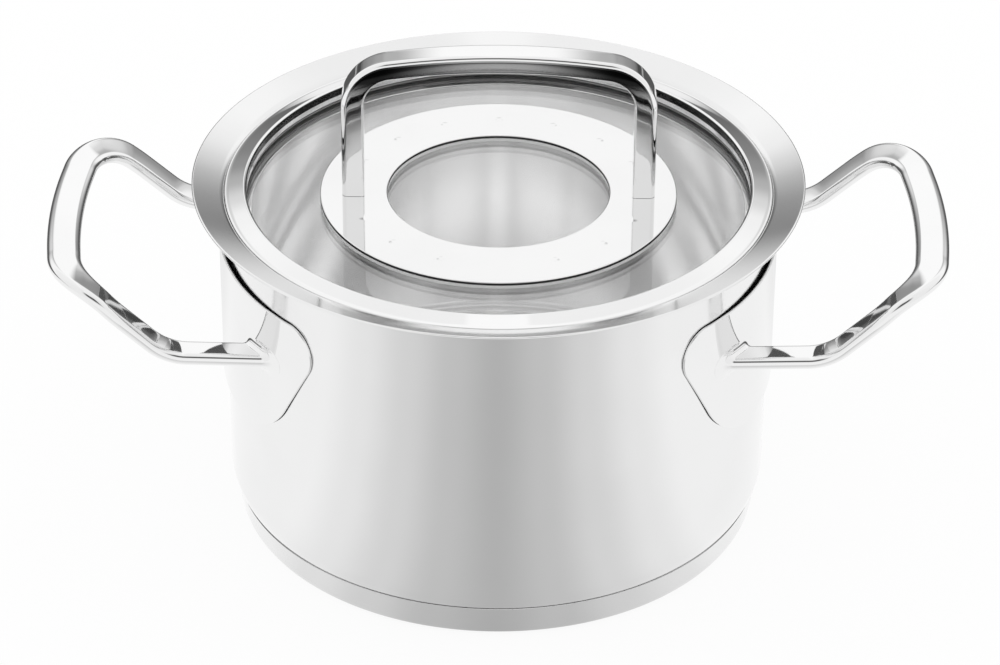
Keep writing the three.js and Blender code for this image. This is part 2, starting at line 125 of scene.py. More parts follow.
@dataclass(frozen=True)
class Surface:
    """Points, faces and point normals of one closed mesh."""

    points: np.ndarray
    faces: tuple[np.ndarray, ...]
    normals: np.ndarray


class Body(Enum):
    """The two bodies that pieces ride on."""

    POT = "pot"
    LID = "lid"


class Side(Enum):
    """Which side of the pot a piece sits on, as the sign of its X."""

    LEFT = -1
    RIGHT = 1

    @property
    def word(self) -> str:
        """The side as the names of pieces and nodes spell it."""
        return self.name.lower()

    def placed(self, surface: Surface) -> Surface:
        """A surface made for the right side, turned half round about Z for the left."""
        turn = np.array((self.value, self.value, 1.0))
        return Surface(surface.points * turn, surface.faces, surface.normals * turn)


def bent_line(
    corners: Sequence[tuple[float, ...]], arc_step: float = 3.0, run_step: float = math.inf
) -> Line:
    """A line whose inner corners are rounded by arcs that touch both runs.

    Each arc turns about a centre that lies its radius to the side of the run before it. Normals
    point to the left of the way the line runs.

    Args:
        corners: (x, y) of each corner, with the bend radius third on inner ones.
        arc_step: Largest turn between points on an arc, in degrees.
        run_step: Longest step between points on a straight run.

    Returns:
        The line with a point at both ends of each arc and run.
    """
    at = np.array([corner[:2] for corner in corners], float)
    heads = unit(np.diff(at, axis=0))
    points, headings = [at[:1]], [heads[:1]]

    def run_to(end: np.ndarray, head: np.ndarray) -> None:
        """Adds a straight run.

        Args:
            end: Where it goes.
            head: Its unit direction.
        """
        start = points[-1][-1]
        length = float(np.linalg.norm(end - start))
        count = max(1, math.ceil(length / run_step - TINY))
        share = np.linspace(0, 1, count + 1)[1:, None]
        points.append(start + (end - start) * share)
        headings.append(np.repeat(head[None], count, axis=0))

    for i in range(1, len(at) - 1):
        before, after = heads[i - 1], heads[i]
        cross = before[0] * after[1] - before[1] * after[0]
        turn = math.atan2(cross, float(before @ after))
        bend = corners[i][2]
        side = math.copysign(1.0, turn)
        start = at[i] - before * bend * math.tan(abs(turn) / 2)
        run_to(start, before)
        centre = start + side * bend * left_of(before)
        steps = max(2, math.ceil(math.degrees(abs(turn)) / arc_step))
        angle = np.linspace(0, turn, steps + 1)[1:, None]
        swung = np.cos(angle) * before + np.sin(angle) * left_of(before)
        points.append(centre - side * bend * left_of(swung))
        headings.append(swung)
    run_to(at[-1], heads[-1])
    return Line(np.concatenate(points), left_of(np.concatenate(headings)))


def half_round(end: np.ndarray, normal: np.ndarray, heading: np.ndarray, radius: float) -> Line:
    """A half circle round a sheet's edge, from the side of the normal to the other side.

    Args:
        end: Middle of the edge.
        normal: Unit normal of the sheet at the edge.
        heading: Unit direction out of the edge.
        radius: Half the sheet's thickness.

    Returns:
        The inner points of the half circle.
    """
    angle = np.radians(np.linspace(0, 180, HALF_ROUND_POINTS))[1:-1, None]
    out = np.cos(angle) * normal + np.sin(angle) * heading
    return Line(end + radius * out, out)


def sheet_outline(middle: Line, thickness: float, from_axis: bool) -> Line:
    """Outline of a bent sheet: both sides of its middle line, with half-round edges.

    Args:
        middle: The middle line.
        thickness: Thickness of the sheet.
        from_axis: True if the line starts on the axis, where it needs no edge.

    Returns:
        The outline, normals outward, from the start along the right side and back on the left.
    """
    half = thickness / 2
    first, last = middle.normals[0], middle.normals[-1]
    parts = [
        middle.offset(-half).flipped(),
        half_round(middle.points[-1], -last, -left_of(last), half),
        middle.offset(half)[::-1],
    ]
    if not from_axis:
        parts.append(half_round(middle.points[0], first, left_of(first), half))
    return Line.joined(*parts)


def grid_faces(rows: int, columns: int, wrap_rows: bool) -> np.ndarray:
    """Quads of a grid of points numbered row by row, whose rows close on themselves.

    Args:
        rows: Number of rows.
        columns: Points in a row.
        wrap_rows: True if the last row joins the first.

    Returns:
        One row of four point numbers for each quad.
    """
    row = np.arange(rows if wrap_rows else rows - 1)[:, None]
    column = np.arange(columns)[None]
    after, beside = (row + 1) % rows, (column + 1) % columns
    quads = (
        row * columns + column,
        row * columns + beside,
        after * columns + beside,
        after * columns + column,
    )
    return np.stack(quads, axis=-1).reshape(-1, 4)


def fan_faces(ring: np.ndarray, centre: int) -> np.ndarray:
    """Triangles from each step of a ring of point numbers to a centre point."""
    return np.stack((ring, np.roll(ring, -1), np.full_like(ring, centre)), axis=-1)


def face_outward(
    points: np.ndarray, faces: tuple[np.ndarray, ...], normals: np.ndarray
) -> tuple[np.ndarray, ...]:
    """Faces turned so that they wind counterclockwise round the given point normals.

    Args:
        points: Points of the mesh.
        faces: Groups of faces, as rows of point numbers.
        normals: The normal that each point should have.

    Returns:
        The groups with their wrong faces turned over.
    """
    turned = []
    for group in faces:
        a, b, c = (points[group[:, i]] for i in range(3))
        wound = np.cross(b - a, c - a)
        against = (wound * normals[group].mean(axis=1)).sum(axis=1) < 0
        turned.append(np.where(against[:, None], group[:, ::-1], group))
    return tuple(turned)


def revolve(outline: Line, segments: int) -> Surface:
    """Surface of revolution: an outline (radius, height) carried round the Z axis.

    A point at angle a is (radius cos a, radius sin a, height), and its normal is turned alike. An
    outline end on the axis becomes one pole, and an outline off the axis closes on itself.

    Args:
        outline: Radii and heights with outward normals.
        segments: Points round the axis.

    Returns:
        The closed surface.
    """
    radius = outline.points[:, 0]
    ends_on_axis = radius[0] < CLOSE, radius[-1] < CLOSE
    ring = outline[radius > CLOSE]
    turn = on_circle(np.arange(segments) * (2 * math.pi / segments))

    def carried(pairs: np.ndarray) -> np.ndarray:
        """Carries pairs round the axis.

        Args:
            pairs: Radius and height of each row.

        Returns:
            X, Y and Z, row by row.
        """
        flat = pairs[:, :1, None] * turn[None]
        high = np.broadcast_to(pairs[:, 1:, None], (len(pairs), segments, 1))
        return np.concatenate((flat, high), axis=-1).reshape(-1, 3)

    points, normals = carried(ring.points), carried(ring.normals)
    rows = len(ring.points)
    faces = [grid_faces(rows, segments, wrap_rows=not any(ends_on_axis))]
    for on_axis, row, end in zip(ends_on_axis, (0, rows - 1), (0, -1)):
        if on_axis:
            faces.append(fan_faces(row * segments + np.arange(segments), len(points)))
            points = np.concatenate((points, [[0, 0, outline.points[end, 1]]]))
            normals = np.concatenate((normals, [[0, 0, outline.normals[end, 1]]]))
    return Surface(points, face_outward(points, tuple(faces), normals), normals)


def bar_section(
    width: float,
    thickness: float,
    upper: float,
    lower: float,
    flat_points: int = 5,
    crown: float = 0.0,
) -> np.ndarray:
    """Points round a rectangle with rounded corners, counterclockwise.

    A crown takes the two broad sides down by its height times the squared share of the half width.

    Args:
        width: Size along the first direction.
        thickness: Size along the second direction.
        upper: Corner radius on the upper side.
        lower: Corner radius on the lower side.
        flat_points: Points put on each flat side between the corners.
        crown: Height by which the broad sides bulge in their middle.

    Returns:
        The points as (across, up) pairs.
    """
    right, top = width / 2, thickness / 2
    corners = (
        (right - upper, top - upper, upper, 0),
        (upper - right, top - upper, upper, 90),
        (lower - right, lower - top, lower, 180),
        (right - lower, lower - top, lower, 270),
    )
    quarter = np.linspace(0, 90, CORNER_POINTS)
    arcs = [
        np.array((x, y)) + radius * on_circle(np.radians(start + quarter))
        for x, y, radius, start in corners
    ]
    share = np.linspace(0, 1, flat_points + 2)[1:-1, None]
    rows = []
    for arc, following in zip(arcs, arcs[1:] + arcs[:1]):
        rows += [arc, arc[-1] + (following[0] - arc[-1]) * share]
    points = np.concatenate(rows)
    points[:, 1] *= 1 - crown / top * (points[:, 0] / right) ** 2
    return points


def capped(
    rows: np.ndarray, normals: np.ndarray, poles: np.ndarray, caps: np.ndarray
) -> Surface:
    """Surface over a row of like rings, closed at both ends by fans.

    Args:
        rows: Points as rings by ring points by three.
        normals: Their normals.
        poles: Middle points of the two fans.
        caps: Directions that the two fans face.

    Returns:
        The closed surface.
    """
    rings, count = rows.shape[:2]
    ring, last = np.arange(count), (rings - 1) * count
    points = np.concatenate((rows.reshape(-1, 3), poles))
    normals = np.concatenate((normals.reshape(-1, 3), unit(caps)))
    skin = face_outward(points, (grid_faces(rings, count, wrap_rows=False),), normals)
    fans = (fan_faces(ring, last + count), fan_faces(last + ring, last + count + 1))
    flat = np.concatenate((np.repeat(caps[:1], last + count, axis=0), caps))
    flat[last:last + count] = caps[1]
    return Surface(points, skin + face_outward(points, fans, flat), normals)


def swept(rows: np.ndarray) -> Surface:
    """Surface over a row of like closed sections.

    The normal at a point is the cross product of the steps along the row and round the section.

    Args:
        rows: Points as stations by section points by three.

    Returns:
        The surface, closed at both ends.
    """
    along = np.gradient(rows, axis=0)
    normals = unit(np.cross(along, np.roll(rows, -1, axis=1) - np.roll(rows, 1, axis=1)))
    outward = rows - rows.mean(axis=1, keepdims=True)
    normals *= np.where((normals * outward).sum(axis=(1, 2)) < 0, -1.0, 1.0)[:, None, None]
    ends = np.stack((rows[0].mean(axis=0), rows[-1].mean(axis=0)))
    caps = np.stack((-along[0].mean(axis=0), along[-1].mean(axis=0)))
    return capped(rows, normals, ends, caps)


def make_piece(name: str, surface: Surface, body: Body, node: str) -> Object:
    """Puts a surface into a mesh object that rides on a body.

    Args:
        name: Name of the piece.
        surface: Its surface, in millimetres.
        body: The body it moves with.
        node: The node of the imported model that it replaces.

    Returns:
        The new object.
    """
    mesh = bpy.data.meshes.new(name)
    sizes = np.concatenate([np.full(len(group), group.shape[1]) for group in surface.faces])
    corners = np.concatenate([group.reshape(-1) for group in surface.faces])
    mesh.vertices.add(len(surface.points))
    mesh.vertices.foreach_set("co", (surface.points * MM).astype(np.float32).reshape(-1))
    mesh.loops.add(len(corners))
    mesh.loops.foreach_set("vertex_index", corners.astype(np.int32))
    mesh.polygons.add(len(sizes))
    mesh.polygons.foreach_set("loop_start", (np.cumsum(sizes) - sizes).astype(np.int32))
    mesh.update(calc_edges=True)
    mesh.validate()
    mesh.normals_split_custom_set_from_vertices(surface.normals.tolist())
    piece = bpy.data.objects.new(name, mesh)
    bpy.context.scene.collection.objects.link(piece)
    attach(piece, body.value)
    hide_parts(node)
    LOG.info("%s: %d faces on the %s", name, len(mesh.polygons), body.value)
    return piece


def face_data(piece: Object) -> tuple[np.ndarray, np.ndarray, np.ndarray]:
    """Where the faces of a piece are and which way they look, in metres.

    Args:
        piece: The piece.

    Returns:
        Middles, normals, and the product of each middle and normal in plan, which is below 0
        where a face looks towards the axis.
    """
    polygons = piece.data.polygons
    place = np.empty(len(polygons) * 3, np.float32)
    facing = np.empty_like(place)
    polygons.foreach_get("center", place)
    polygons.foreach_get("normal", facing)
    place, facing = place.reshape(-1, 3), facing.reshape(-1, 3)
    return place, facing, (place[:, :2] * facing[:, :2]).sum(axis=1)


# Finishes


class Nodes:
    """Small helper that adds linked nodes to a tree."""

    def __init__(self, tree: bpy.types.NodeTree) -> None:
        """Takes the tree to add to."""
        self.tree = tree

    def feed(self, node: bpy.types.Node, inputs: dict[str | int, object]) -> None:
        """Links outputs to a node's inputs, or sets the inputs to plain values.

        Args:
            node: The node to feed.
            inputs: Output or value for each input, by label or number.
        """
        for label, value in inputs.items():
            if isinstance(value, Socket):
                self.tree.links.new(value, node.inputs[label])
            else:
                node.inputs[label].default_value = value

    def add(
        self, kind: str, inputs: dict[str | int, object] | None = None, **values: object
    ) -> bpy.types.Node:
        """Adds a node.

        Args:
            kind: Type of the node.
            inputs: Output or value for each input, by label or number.
            **values: Attributes to set before the inputs.

        Returns:
            The node.
        """
        node = self.tree.nodes.new(kind)
        for name, value in values.items():
            setattr(node, name, value)
        self.feed(node, inputs or {})
        return node

    def place(self) -> Socket:
        """The place on the piece, in metres."""
        return self.add("ShaderNodeTexCoord").outputs["Object"]

    def split(self, vector: Socket) -> tuple[Socket, ...]:
        """X, Y and Z of a vector."""
        return tuple(self.add("ShaderNodeSeparateXYZ", {0: vector}).outputs)

    def math(self, operation: str, *values: object) -> Socket:
        """The result of a Math node on sockets or numbers."""
        settings = dict(enumerate(values))
        return self.add("ShaderNodeMath", settings, operation=operation).outputs[0]

    def length(self, x: Socket, y: Socket) -> Socket:
        """Length of a vector in a plane."""
        squares = [self.math("POWER", value, 2.0) for value in (x, y)]
        return self.math("SQRT", self.math("ADD", *squares))

    def eased(
        self, value: object, start: float, end: float, low: float = 0.0, high: float = 1.0
    ) -> Socket:
        """A value eased from low at start to high at end."""
        inputs = dict(enumerate((value, start, end, low, high)))
        return self.add("ShaderNodeMapRange", inputs, interpolation_type="SMOOTHSTEP").outputs[0]

    def ramp(self, value: object, stops: Sequence[Span]) -> Socket:
        """A grey that runs through stops.

        Args:
            value: What is looked up, from 0 to 1.
            stops: Place and level of each stop.

        Returns:
            The grey.
        """
        node = self.add("ShaderNodeValToRGB", {0: value})
        node.color_ramp.interpolation = "EASE"
        elements = node.color_ramp.elements
        while len(elements) < len(stops):
            elements.new(0.5)
        for element, (place, grey) in zip(elements, stops):
            element.position = place
            element.color = (grey, grey, grey, 1)
        return node.outputs[0]

    def mixed(self, share: object, first: object, second: object) -> Socket:
        """A blend of two numbers."""
        settings = {0: share, 2: first, 3: second}
        return self.add("ShaderNodeMix", settings, data_type="FLOAT").outputs[0]

    def noise(self, place: Socket, scale: object, detail: float = 2.0) -> Socket:
        """A noise between 0 and 1 over a place."""
        settings = {"Vector": place, "Scale": scale, "Detail": detail}
        return self.add("ShaderNodeTexNoise", settings).outputs[0]

    def relief(self, height: Socket, strength: float, depth: float) -> Socket:
        """A normal bent by a height between 0 and 1, with a depth in millimetres."""
        settings = {"Height": height, "Strength": strength, "Distance": depth * MM}
        return self.add("ShaderNodeBump", settings).outputs[0]


def group_of(name: str, inputs: dict[str, float | None], outputs: dict[str, str]) -> Nodes:
    """A new shader node group with named sockets.

    Args:
        name: Name of the group.
        inputs: Default of each number that goes in, or None for a vector.
        outputs: Socket kind for each output.

    Returns:
        A helper on the group's tree.
    """
    tree = bpy.data.node_groups.new(name, "ShaderNodeTree")
    for label, default in inputs.items():
        kind = "NodeSocketVector" if default is None else "NodeSocketFloat"
        socket = tree.interface.new_socket(label, in_out="INPUT", socket_type=kind)
        if default is not None:
            socket.default_value = default
    for label, kind in outputs.items():
        tree.interface.new_socket(label, in_out="OUTPUT", socket_type=kind)
    return Nodes(tree)


@cache
def polish_group() -> bpy.types.NodeTree:
    """Cloudy rub of a polishing wheel: a slow noise that varies the roughness and the shade.

    Returns:
        A group from a place on the piece to a roughness and a shade.
    """
    made = group_of(
        "Polish",
        {"Place": None, "Smoothest": 0.03, "Roughest": 0.06, "Bright": 0.85, "Dull": 0.82},
        {"Roughness": "NodeSocketFloat", "Shade": "NodeSocketColor"},
    )
    source = made.add("NodeGroupInput").outputs
    cloud = made.noise(source["Place"], scale=24.0, detail=4.0)
    rub = made.eased(cloud, start=0.3, end=0.7)
    shade = made.mixed(rub, source["Dull"], source["Bright"])
    colour = made.add("ShaderNodeCombineColor", {i: shade for i in range(3)})
    made.add("NodeGroupOutput", {
        "Roughness": made.mixed(rub, source["Roughest"], source["Smoothest"]),
        "Shade": colour.outputs[0],
    })
    return made.tree


@cache
def spin_group() -> bpy.types.NodeTree:
    """Fine lines left by brushing while the piece spins: noise over radius and height only.

    Returns:
        A group from a place on the piece and a line density to a height between 0 and 1.
    """
    made = group_of("Spin lines", {"Place": None, "Density": 2500.0}, {"Height": "NodeSocketFloat"})
    source = made.add("NodeGroupInput").outputs
    x, y, z = made.split(source["Place"])
    across = made.add("ShaderNodeCombineXYZ", {0: made.length(x, y), 1: z}).outputs[0]
    lines = made.noise(across, source["Density"], detail=3.0)
    made.add("NodeGroupOutput", {"Height": lines})
    return made.tree


def new_material(name: str) -> tuple[bpy.types.Material, Nodes, bpy.types.Node]:
    """A new material that uses nodes.

    Args:
        name: Name of the material.

    Returns:
        The material, a helper on its tree and its Principled shader.
    """
    made = bpy.data.materials.new(name)
    made.use_nodes = True
    return made, Nodes(made.node_tree), made.node_tree.nodes["Principled BSDF"]


@dataclass(frozen=True)
class SteelFinish:
    """Polished or brushed steel.

    Roughness and shade wander between two levels, and spin lines add a fine relief. A painted
    shade can darken the colour between two levels over a reach to both sides of the axis, above a
    band of heights.
    """

    name: str
    smoothest: float = 0.03
    roughest: float = 0.05
    bright: float = 0.87
    dull: float = 0.85
    line_density: float = 2500.0
    line_strength: float = 0.0
    grain: float = 0.0
    grain_turn: float = 0.0
    dim_reach: Span | None = None
    dim_levels: Span = (1.0, 1.0)
    dim_heights: Span = (0.0, 1.0)
    line_depth: float = 0.01

    def material(self) -> bpy.types.Material:
        """Builds the material from the shared groups.

        Returns:
            The material.
        """
        made, nodes, shader = new_material(self.name)
        place = nodes.place()
        settings = {
            "Place": place,
            "Smoothest": self.smoothest,
            "Roughest": self.roughest,
            "Bright": self.bright,
            "Dull": self.dull,
        }
        polish = nodes.add("ShaderNodeGroup", settings, node_tree=polish_group()).outputs
        shade = polish["Shade"]
        # Painted shade: the base colour is darkened by place on the piece, standing in for dark
        # reflections and shadow.
        if self.dim_reach:
            x, _, z = nodes.split(place)
            reach = nodes.math("ABSOLUTE", x)
            dim = nodes.eased(reach, *np.multiply(self.dim_reach, MM), *self.dim_levels)
            high = nodes.eased(z, *np.multiply(self.dim_heights, MM))
            shade = nodes.math("MULTIPLY", shade, nodes.mixed(high, 1.0, dim))
        nodes.feed(shader, {
            "Base Color": shade,
            "Roughness": polish["Roughness"],
            "Metallic": 1.0,
            "Anisotropic": self.grain,
            "Anisotropic Rotation": self.grain_turn,
        })
        if self.line_strength > 0:
            settings = {"Place": place, "Density": self.line_density}
            lines = nodes.add("ShaderNodeGroup", settings, node_tree=spin_group())
            relief = nodes.relief(lines.outputs["Height"], self.line_strength, self.line_depth)
            nodes.feed(shader, {"Normal": relief})
        if self.grain > 0:
            around = nodes.add("ShaderNodeTangent", direction_type="RADIAL", axis="Z")
            nodes.feed(shader, {"Tangent": around.outputs[0]})
        return made


@dataclass(frozen=True)
class GlassFinish:
    """Clear toughened glass with a faint haze of wiping."""

    name: str
    tint: Colour
    refraction: float
    haze_scale: float = 30.0
    haze_band: Span = (0.45, 0.8)
    haze: float = 0.012

    def material(self) -> bpy.types.Material:
        """Builds the material, with the haze in its roughness.

        Returns:
            The material.
        """
        made, nodes, shader = new_material(self.name)
        cloud = nodes.noise(nodes.place(), self.haze_scale)
        nodes.feed(shader, {
            "Base Color": (*self.tint, 1),
            "Transmission Weight": 1.0,
            "IOR": self.refraction,
            "Roughness": nodes.eased(cloud, *self.haze_band, 0.0, self.haze),
        })
        return made


@dataclass(frozen=True)
class MouldedFinish:
    """Matt moulded or raw material with a fine mottle."""

    name: str
    pale: Colour
    dark: Colour
    roughness: float
    metallic: float
    mottle_scale: float
    relief_strength: float = 0.2
    relief_depth: float = 0.05

    def material(self) -> bpy.types.Material:
        """Builds the material, mottled between its two colours with a little relief.

        Returns:
            The material.
        """
        made, nodes, shader = new_material(self.name)
        mottle = nodes.noise(nodes.place(), self.mottle_scale, detail=5.0)
        colours = {0: mottle, 6: (*self.dark, 1), 7: (*self.pale, 1)}
        blend = nodes.add("ShaderNodeMix", colours, data_type="RGBA")
        nodes.feed(shader, {
            "Base Color": blend.outputs[2],
            "Roughness": self.roughness,
            "Metallic": self.metallic,
            "Normal": nodes.relief(mottle, self.relief_strength, self.relief_depth),
        })
        return made


class Finish(Enum):
    """Every finish on the pot."""

    WALL = SteelFinish("satin wall", 0.1, 0.13, 0.86, 0.84)
    PAD = SteelFinish("polished pad", 0.02, 0.04)
    INSIDE = SteelFinish(
        "polished inside", 0.11, 0.135, 0.985, 0.97,
        line_density=3000.0, line_strength=0.1, grain=0.4, grain_turn=0.25,
    )
    HANDLE = SteelFinish("polished bar")
    PAINTED_REFLECTION_FLANK = SteelFinish(
        # Painted dark reflection on the bow's flanks, deepening towards the corners of the top bar.
        "polished flank, painted reflection",
        dim_reach=(6.0, 42.0), dim_levels=(0.45, 0.02), dim_heights=(166.0, 177.0),
    )
    # Painted shade on the rim's upper step, for the shadow in its groove; lighter near the middle
    # of the back and front.
    STEP = SteelFinish("polished step, painted shade", dim_reach=(10.0, 34.0), dim_levels=(0.8, 0.03))
    LID = SteelFinish("polished rim")
    UNDER = SteelFinish("satin underside", 0.5, 0.6, 0.96, 0.93)
    PLATE = SteelFinish("polished plate", 0.02, 0.04, 0.84, 0.82)
    BASE = SteelFinish(
        "brushed base", 0.1, 0.16, 0.82, 0.78, line_density=2200.0, line_strength=0.4
    )
    FIXING = SteelFinish("plain fixing steel", 0.22, 0.3, 0.74, 0.66)
    GLASS = GlassFinish("clear glass", (0.99, 0.99, 0.99), 1.9)
    SEAL = MouldedFinish("grey silicone", (0.26, 0.26, 0.26), (0.2, 0.2, 0.2), 0.5, 0.0, 90.0)
    # Painted shade: near black, standing for the shadow in gaps and on cut edges.
    SEAM = MouldedFinish(
        "painted shade in gaps", (0.03, 0.03, 0.03), (0.015, 0.015, 0.015), 0.7, 0.0, 150.0
    )
    SILICONE = MouldedFinish(
        "clear silicone", (0.9, 0.9, 0.9), (0.84, 0.84, 0.84), 0.5, 0.0, 90.0
    )
    CORE = MouldedFinish(
        "raw aluminium", (0.74, 0.75, 0.76), (0.66, 0.67, 0.68), 0.45, 1.0, 220.0
    )


class Wardrobe:
    """Builds each finish once and puts it on pieces."""

    def __init__(self) -> None:
        """Makes every material."""
        self.materials = {finish: finish.value.material() for finish in Finish}

    def dress(
        self, piece: Object, *finishes: Finish, choice: np.ndarray | None = None
    ) -> None:
        """Gives a piece its materials in order, in place of any it had.

        Args:
            piece: The piece.
            *finishes: Its finishes.
            choice: Number of the finish for each face, or None for the first on all.
        """
        piece.data.materials.clear()
        for finish in finishes:
            piece.data.materials.append(self.materials[finish])
        if choice is not None:
            piece.data.polygons.foreach_set("material_index", choice.astype(np.int32))
        LOG.info("%s: %s", piece.name, ", ".join(finish.value.name for finish in finishes))


# The pot


@dataclass(frozen=True)
class Vessel:
    """The drawn pot: floor, wall and flared pouring rim in one sheet.

    The two limits say how far a face looks in or up before it counts as the inside.
    """

    wall_radius: float = 100.1
    wall_draft: float = 0.1
    sheet: float = 1.0
    height: float = 136.5
    flare_width: float = 10.9
    flare_angle: float = 18.0
    flare_bend: float = 3.0
    floor_corner: float = 11.5
    floor_height: float = 8.0
    joint_heights: Span = (12.4, 13.4)
    inward_limit: float = -0.5
    upward_limit: float = 0.5
    segments: int = 360

    def lip(self) -> Span:
        """The middle of the lip.

        Returns:
            Its radius and height.
        """
        angle, half = math.radians(self.flare_angle), self.sheet / 2
        radius = self.wall_radius + self.flare_width - half * math.sin(angle)
        return radius, self.height - half * math.cos(angle)

    def flare_foot(self) -> float:
        """Where the wall's and the flare's middle lines meet.

        Returns:
            The height of that place.
        """
        radius, height = self.lip()
        run = radius - self.wall_radius + self.sheet / 2
        return height - run * tan_of(self.flare_angle)

    def floor_radius(self) -> float:
        """Outside radius of the drafted wall at the height of the floor."""
        return self.wall_radius - (self.flare_foot() - self.floor_height) * tan_of(self.wall_draft)

    def middle(self) -> Line:
        """The middle of the sheet.

        Returns:
            Its line from the axis along the floor and up to the lip.
        """
        half = self.sheet / 2
        floor = self.floor_height + half
        return bent_line([
            (0, floor),
            (self.floor_radius() - half, floor, self.floor_corner),
            (self.wall_radius - half, self.flare_foot(), self.flare_bend),
            self.lip(),
        ])

    def build(self, wardrobe: Wardrobe) -> None:
        """Revolves the sheet, polishes its inside and puts a painted shade over the base cap's
        edge.

        Args:
            wardrobe: What dresses it.
        """
        outline = sheet_outline(self.middle(), self.sheet, from_axis=True)
        surface = revolve(outline, self.segments)
        piece = make_piece("pot_vessel", surface, Body.POT, "vessel")
        place, facing, out = face_data(piece)
        looks_in = (out < self.inward_limit * MM) | (facing[:, 2] > self.upward_limit)
        inside = looks_in & (place[:, 2] < (self.flare_foot() - self.flare_bend) * MM)
        # Painted shade: a band of the outer wall over the cap's edge is dark, where the gap lies in
        # shadow.
        below, above = np.multiply(self.joint_heights, MM)
        painted_joint_shade = ~inside & (place[:, 2] > below) & (place[:, 2] < above)
        wardrobe.dress(
            piece, Finish.WALL, Finish.INSIDE, Finish.SEAM, choice=inside + 2 * painted_joint_shade
        )


@dataclass(frozen=True)
class Base:
    """The steel cap pressed over the aluminium core under the floor."""

    vessel: Vessel
    sheet: float = 1.0
    corner: float = 4.5
    lean: float = 7.0
    rim_rise: float = 5.7
    gap: float = 0.25
    gaps_at_rim: int = 3
    edge: float = 0.12
    side_points: int = 25
    segments: int = 360

    def build(self, wardrobe: Wardrobe) -> None:
        """Builds the cap as a cup whose leaning side ends against the floor corner.

        The outside runs along the bottom, round the corner and up the side. The inside keeps the
        sheet's thickness, or the gap from the vessel's corner where that is closer.

        Args:
            wardrobe: What dresses it.
        """
        slope = tan_of(self.lean)
        corner_radius = self.vessel.floor_corner + self.vessel.sheet / 2
        centre = self.vessel.floor_radius() - corner_radius
        middle_height = self.vessel.floor_height + corner_radius
        seam_reach = math.sqrt(corner_radius**2 - (corner_radius - self.rim_rise) ** 2)
        seam = centre + seam_reach, self.vessel.floor_height + self.rim_rise
        foot = seam[0] - seam[1] * slope
        rim = seam[1] - self.gaps_at_rim * self.gap - self.edge
        outer = bent_line([
            (0, 0),
            (foot, 0, self.corner + self.sheet / 2),
            (foot + rim * slope, rim),
        ]).flipped()
        reach = corner_radius + self.gap
        heights = np.linspace(rim, self.corner + self.sheet, self.side_points)
        dip = np.clip(middle_height - heights, 0, reach)
        bowl = centre + np.sqrt(reach**2 - dip**2)
        bowl = np.where(dip < reach, bowl, np.inf)
        side = foot + heights * slope - self.sheet / math.cos(math.radians(self.lean))
        inner_side = np.stack((np.minimum(side, bowl), heights), axis=-1)
        inside = Line(inner_side, -left_of(unit(np.gradient(inner_side, axis=0))))
        low = inner_side[-1]
        floor = bent_line([
            tuple(low),
            (low[0] - (low[1] - self.sheet) * slope, self.sheet, self.corner - self.sheet / 2),
            (0, self.sheet),
        ])[1:].flipped()
        surface = revolve(Line.joined(outer, inside, floor), self.segments)
        cap = make_piece("pot_base_cap", surface, Body.POT, "base_cap")
        wardrobe.dress(cap, Finish.BASE)
        wardrobe.dress(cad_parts["base_core"], Finish.CORE)


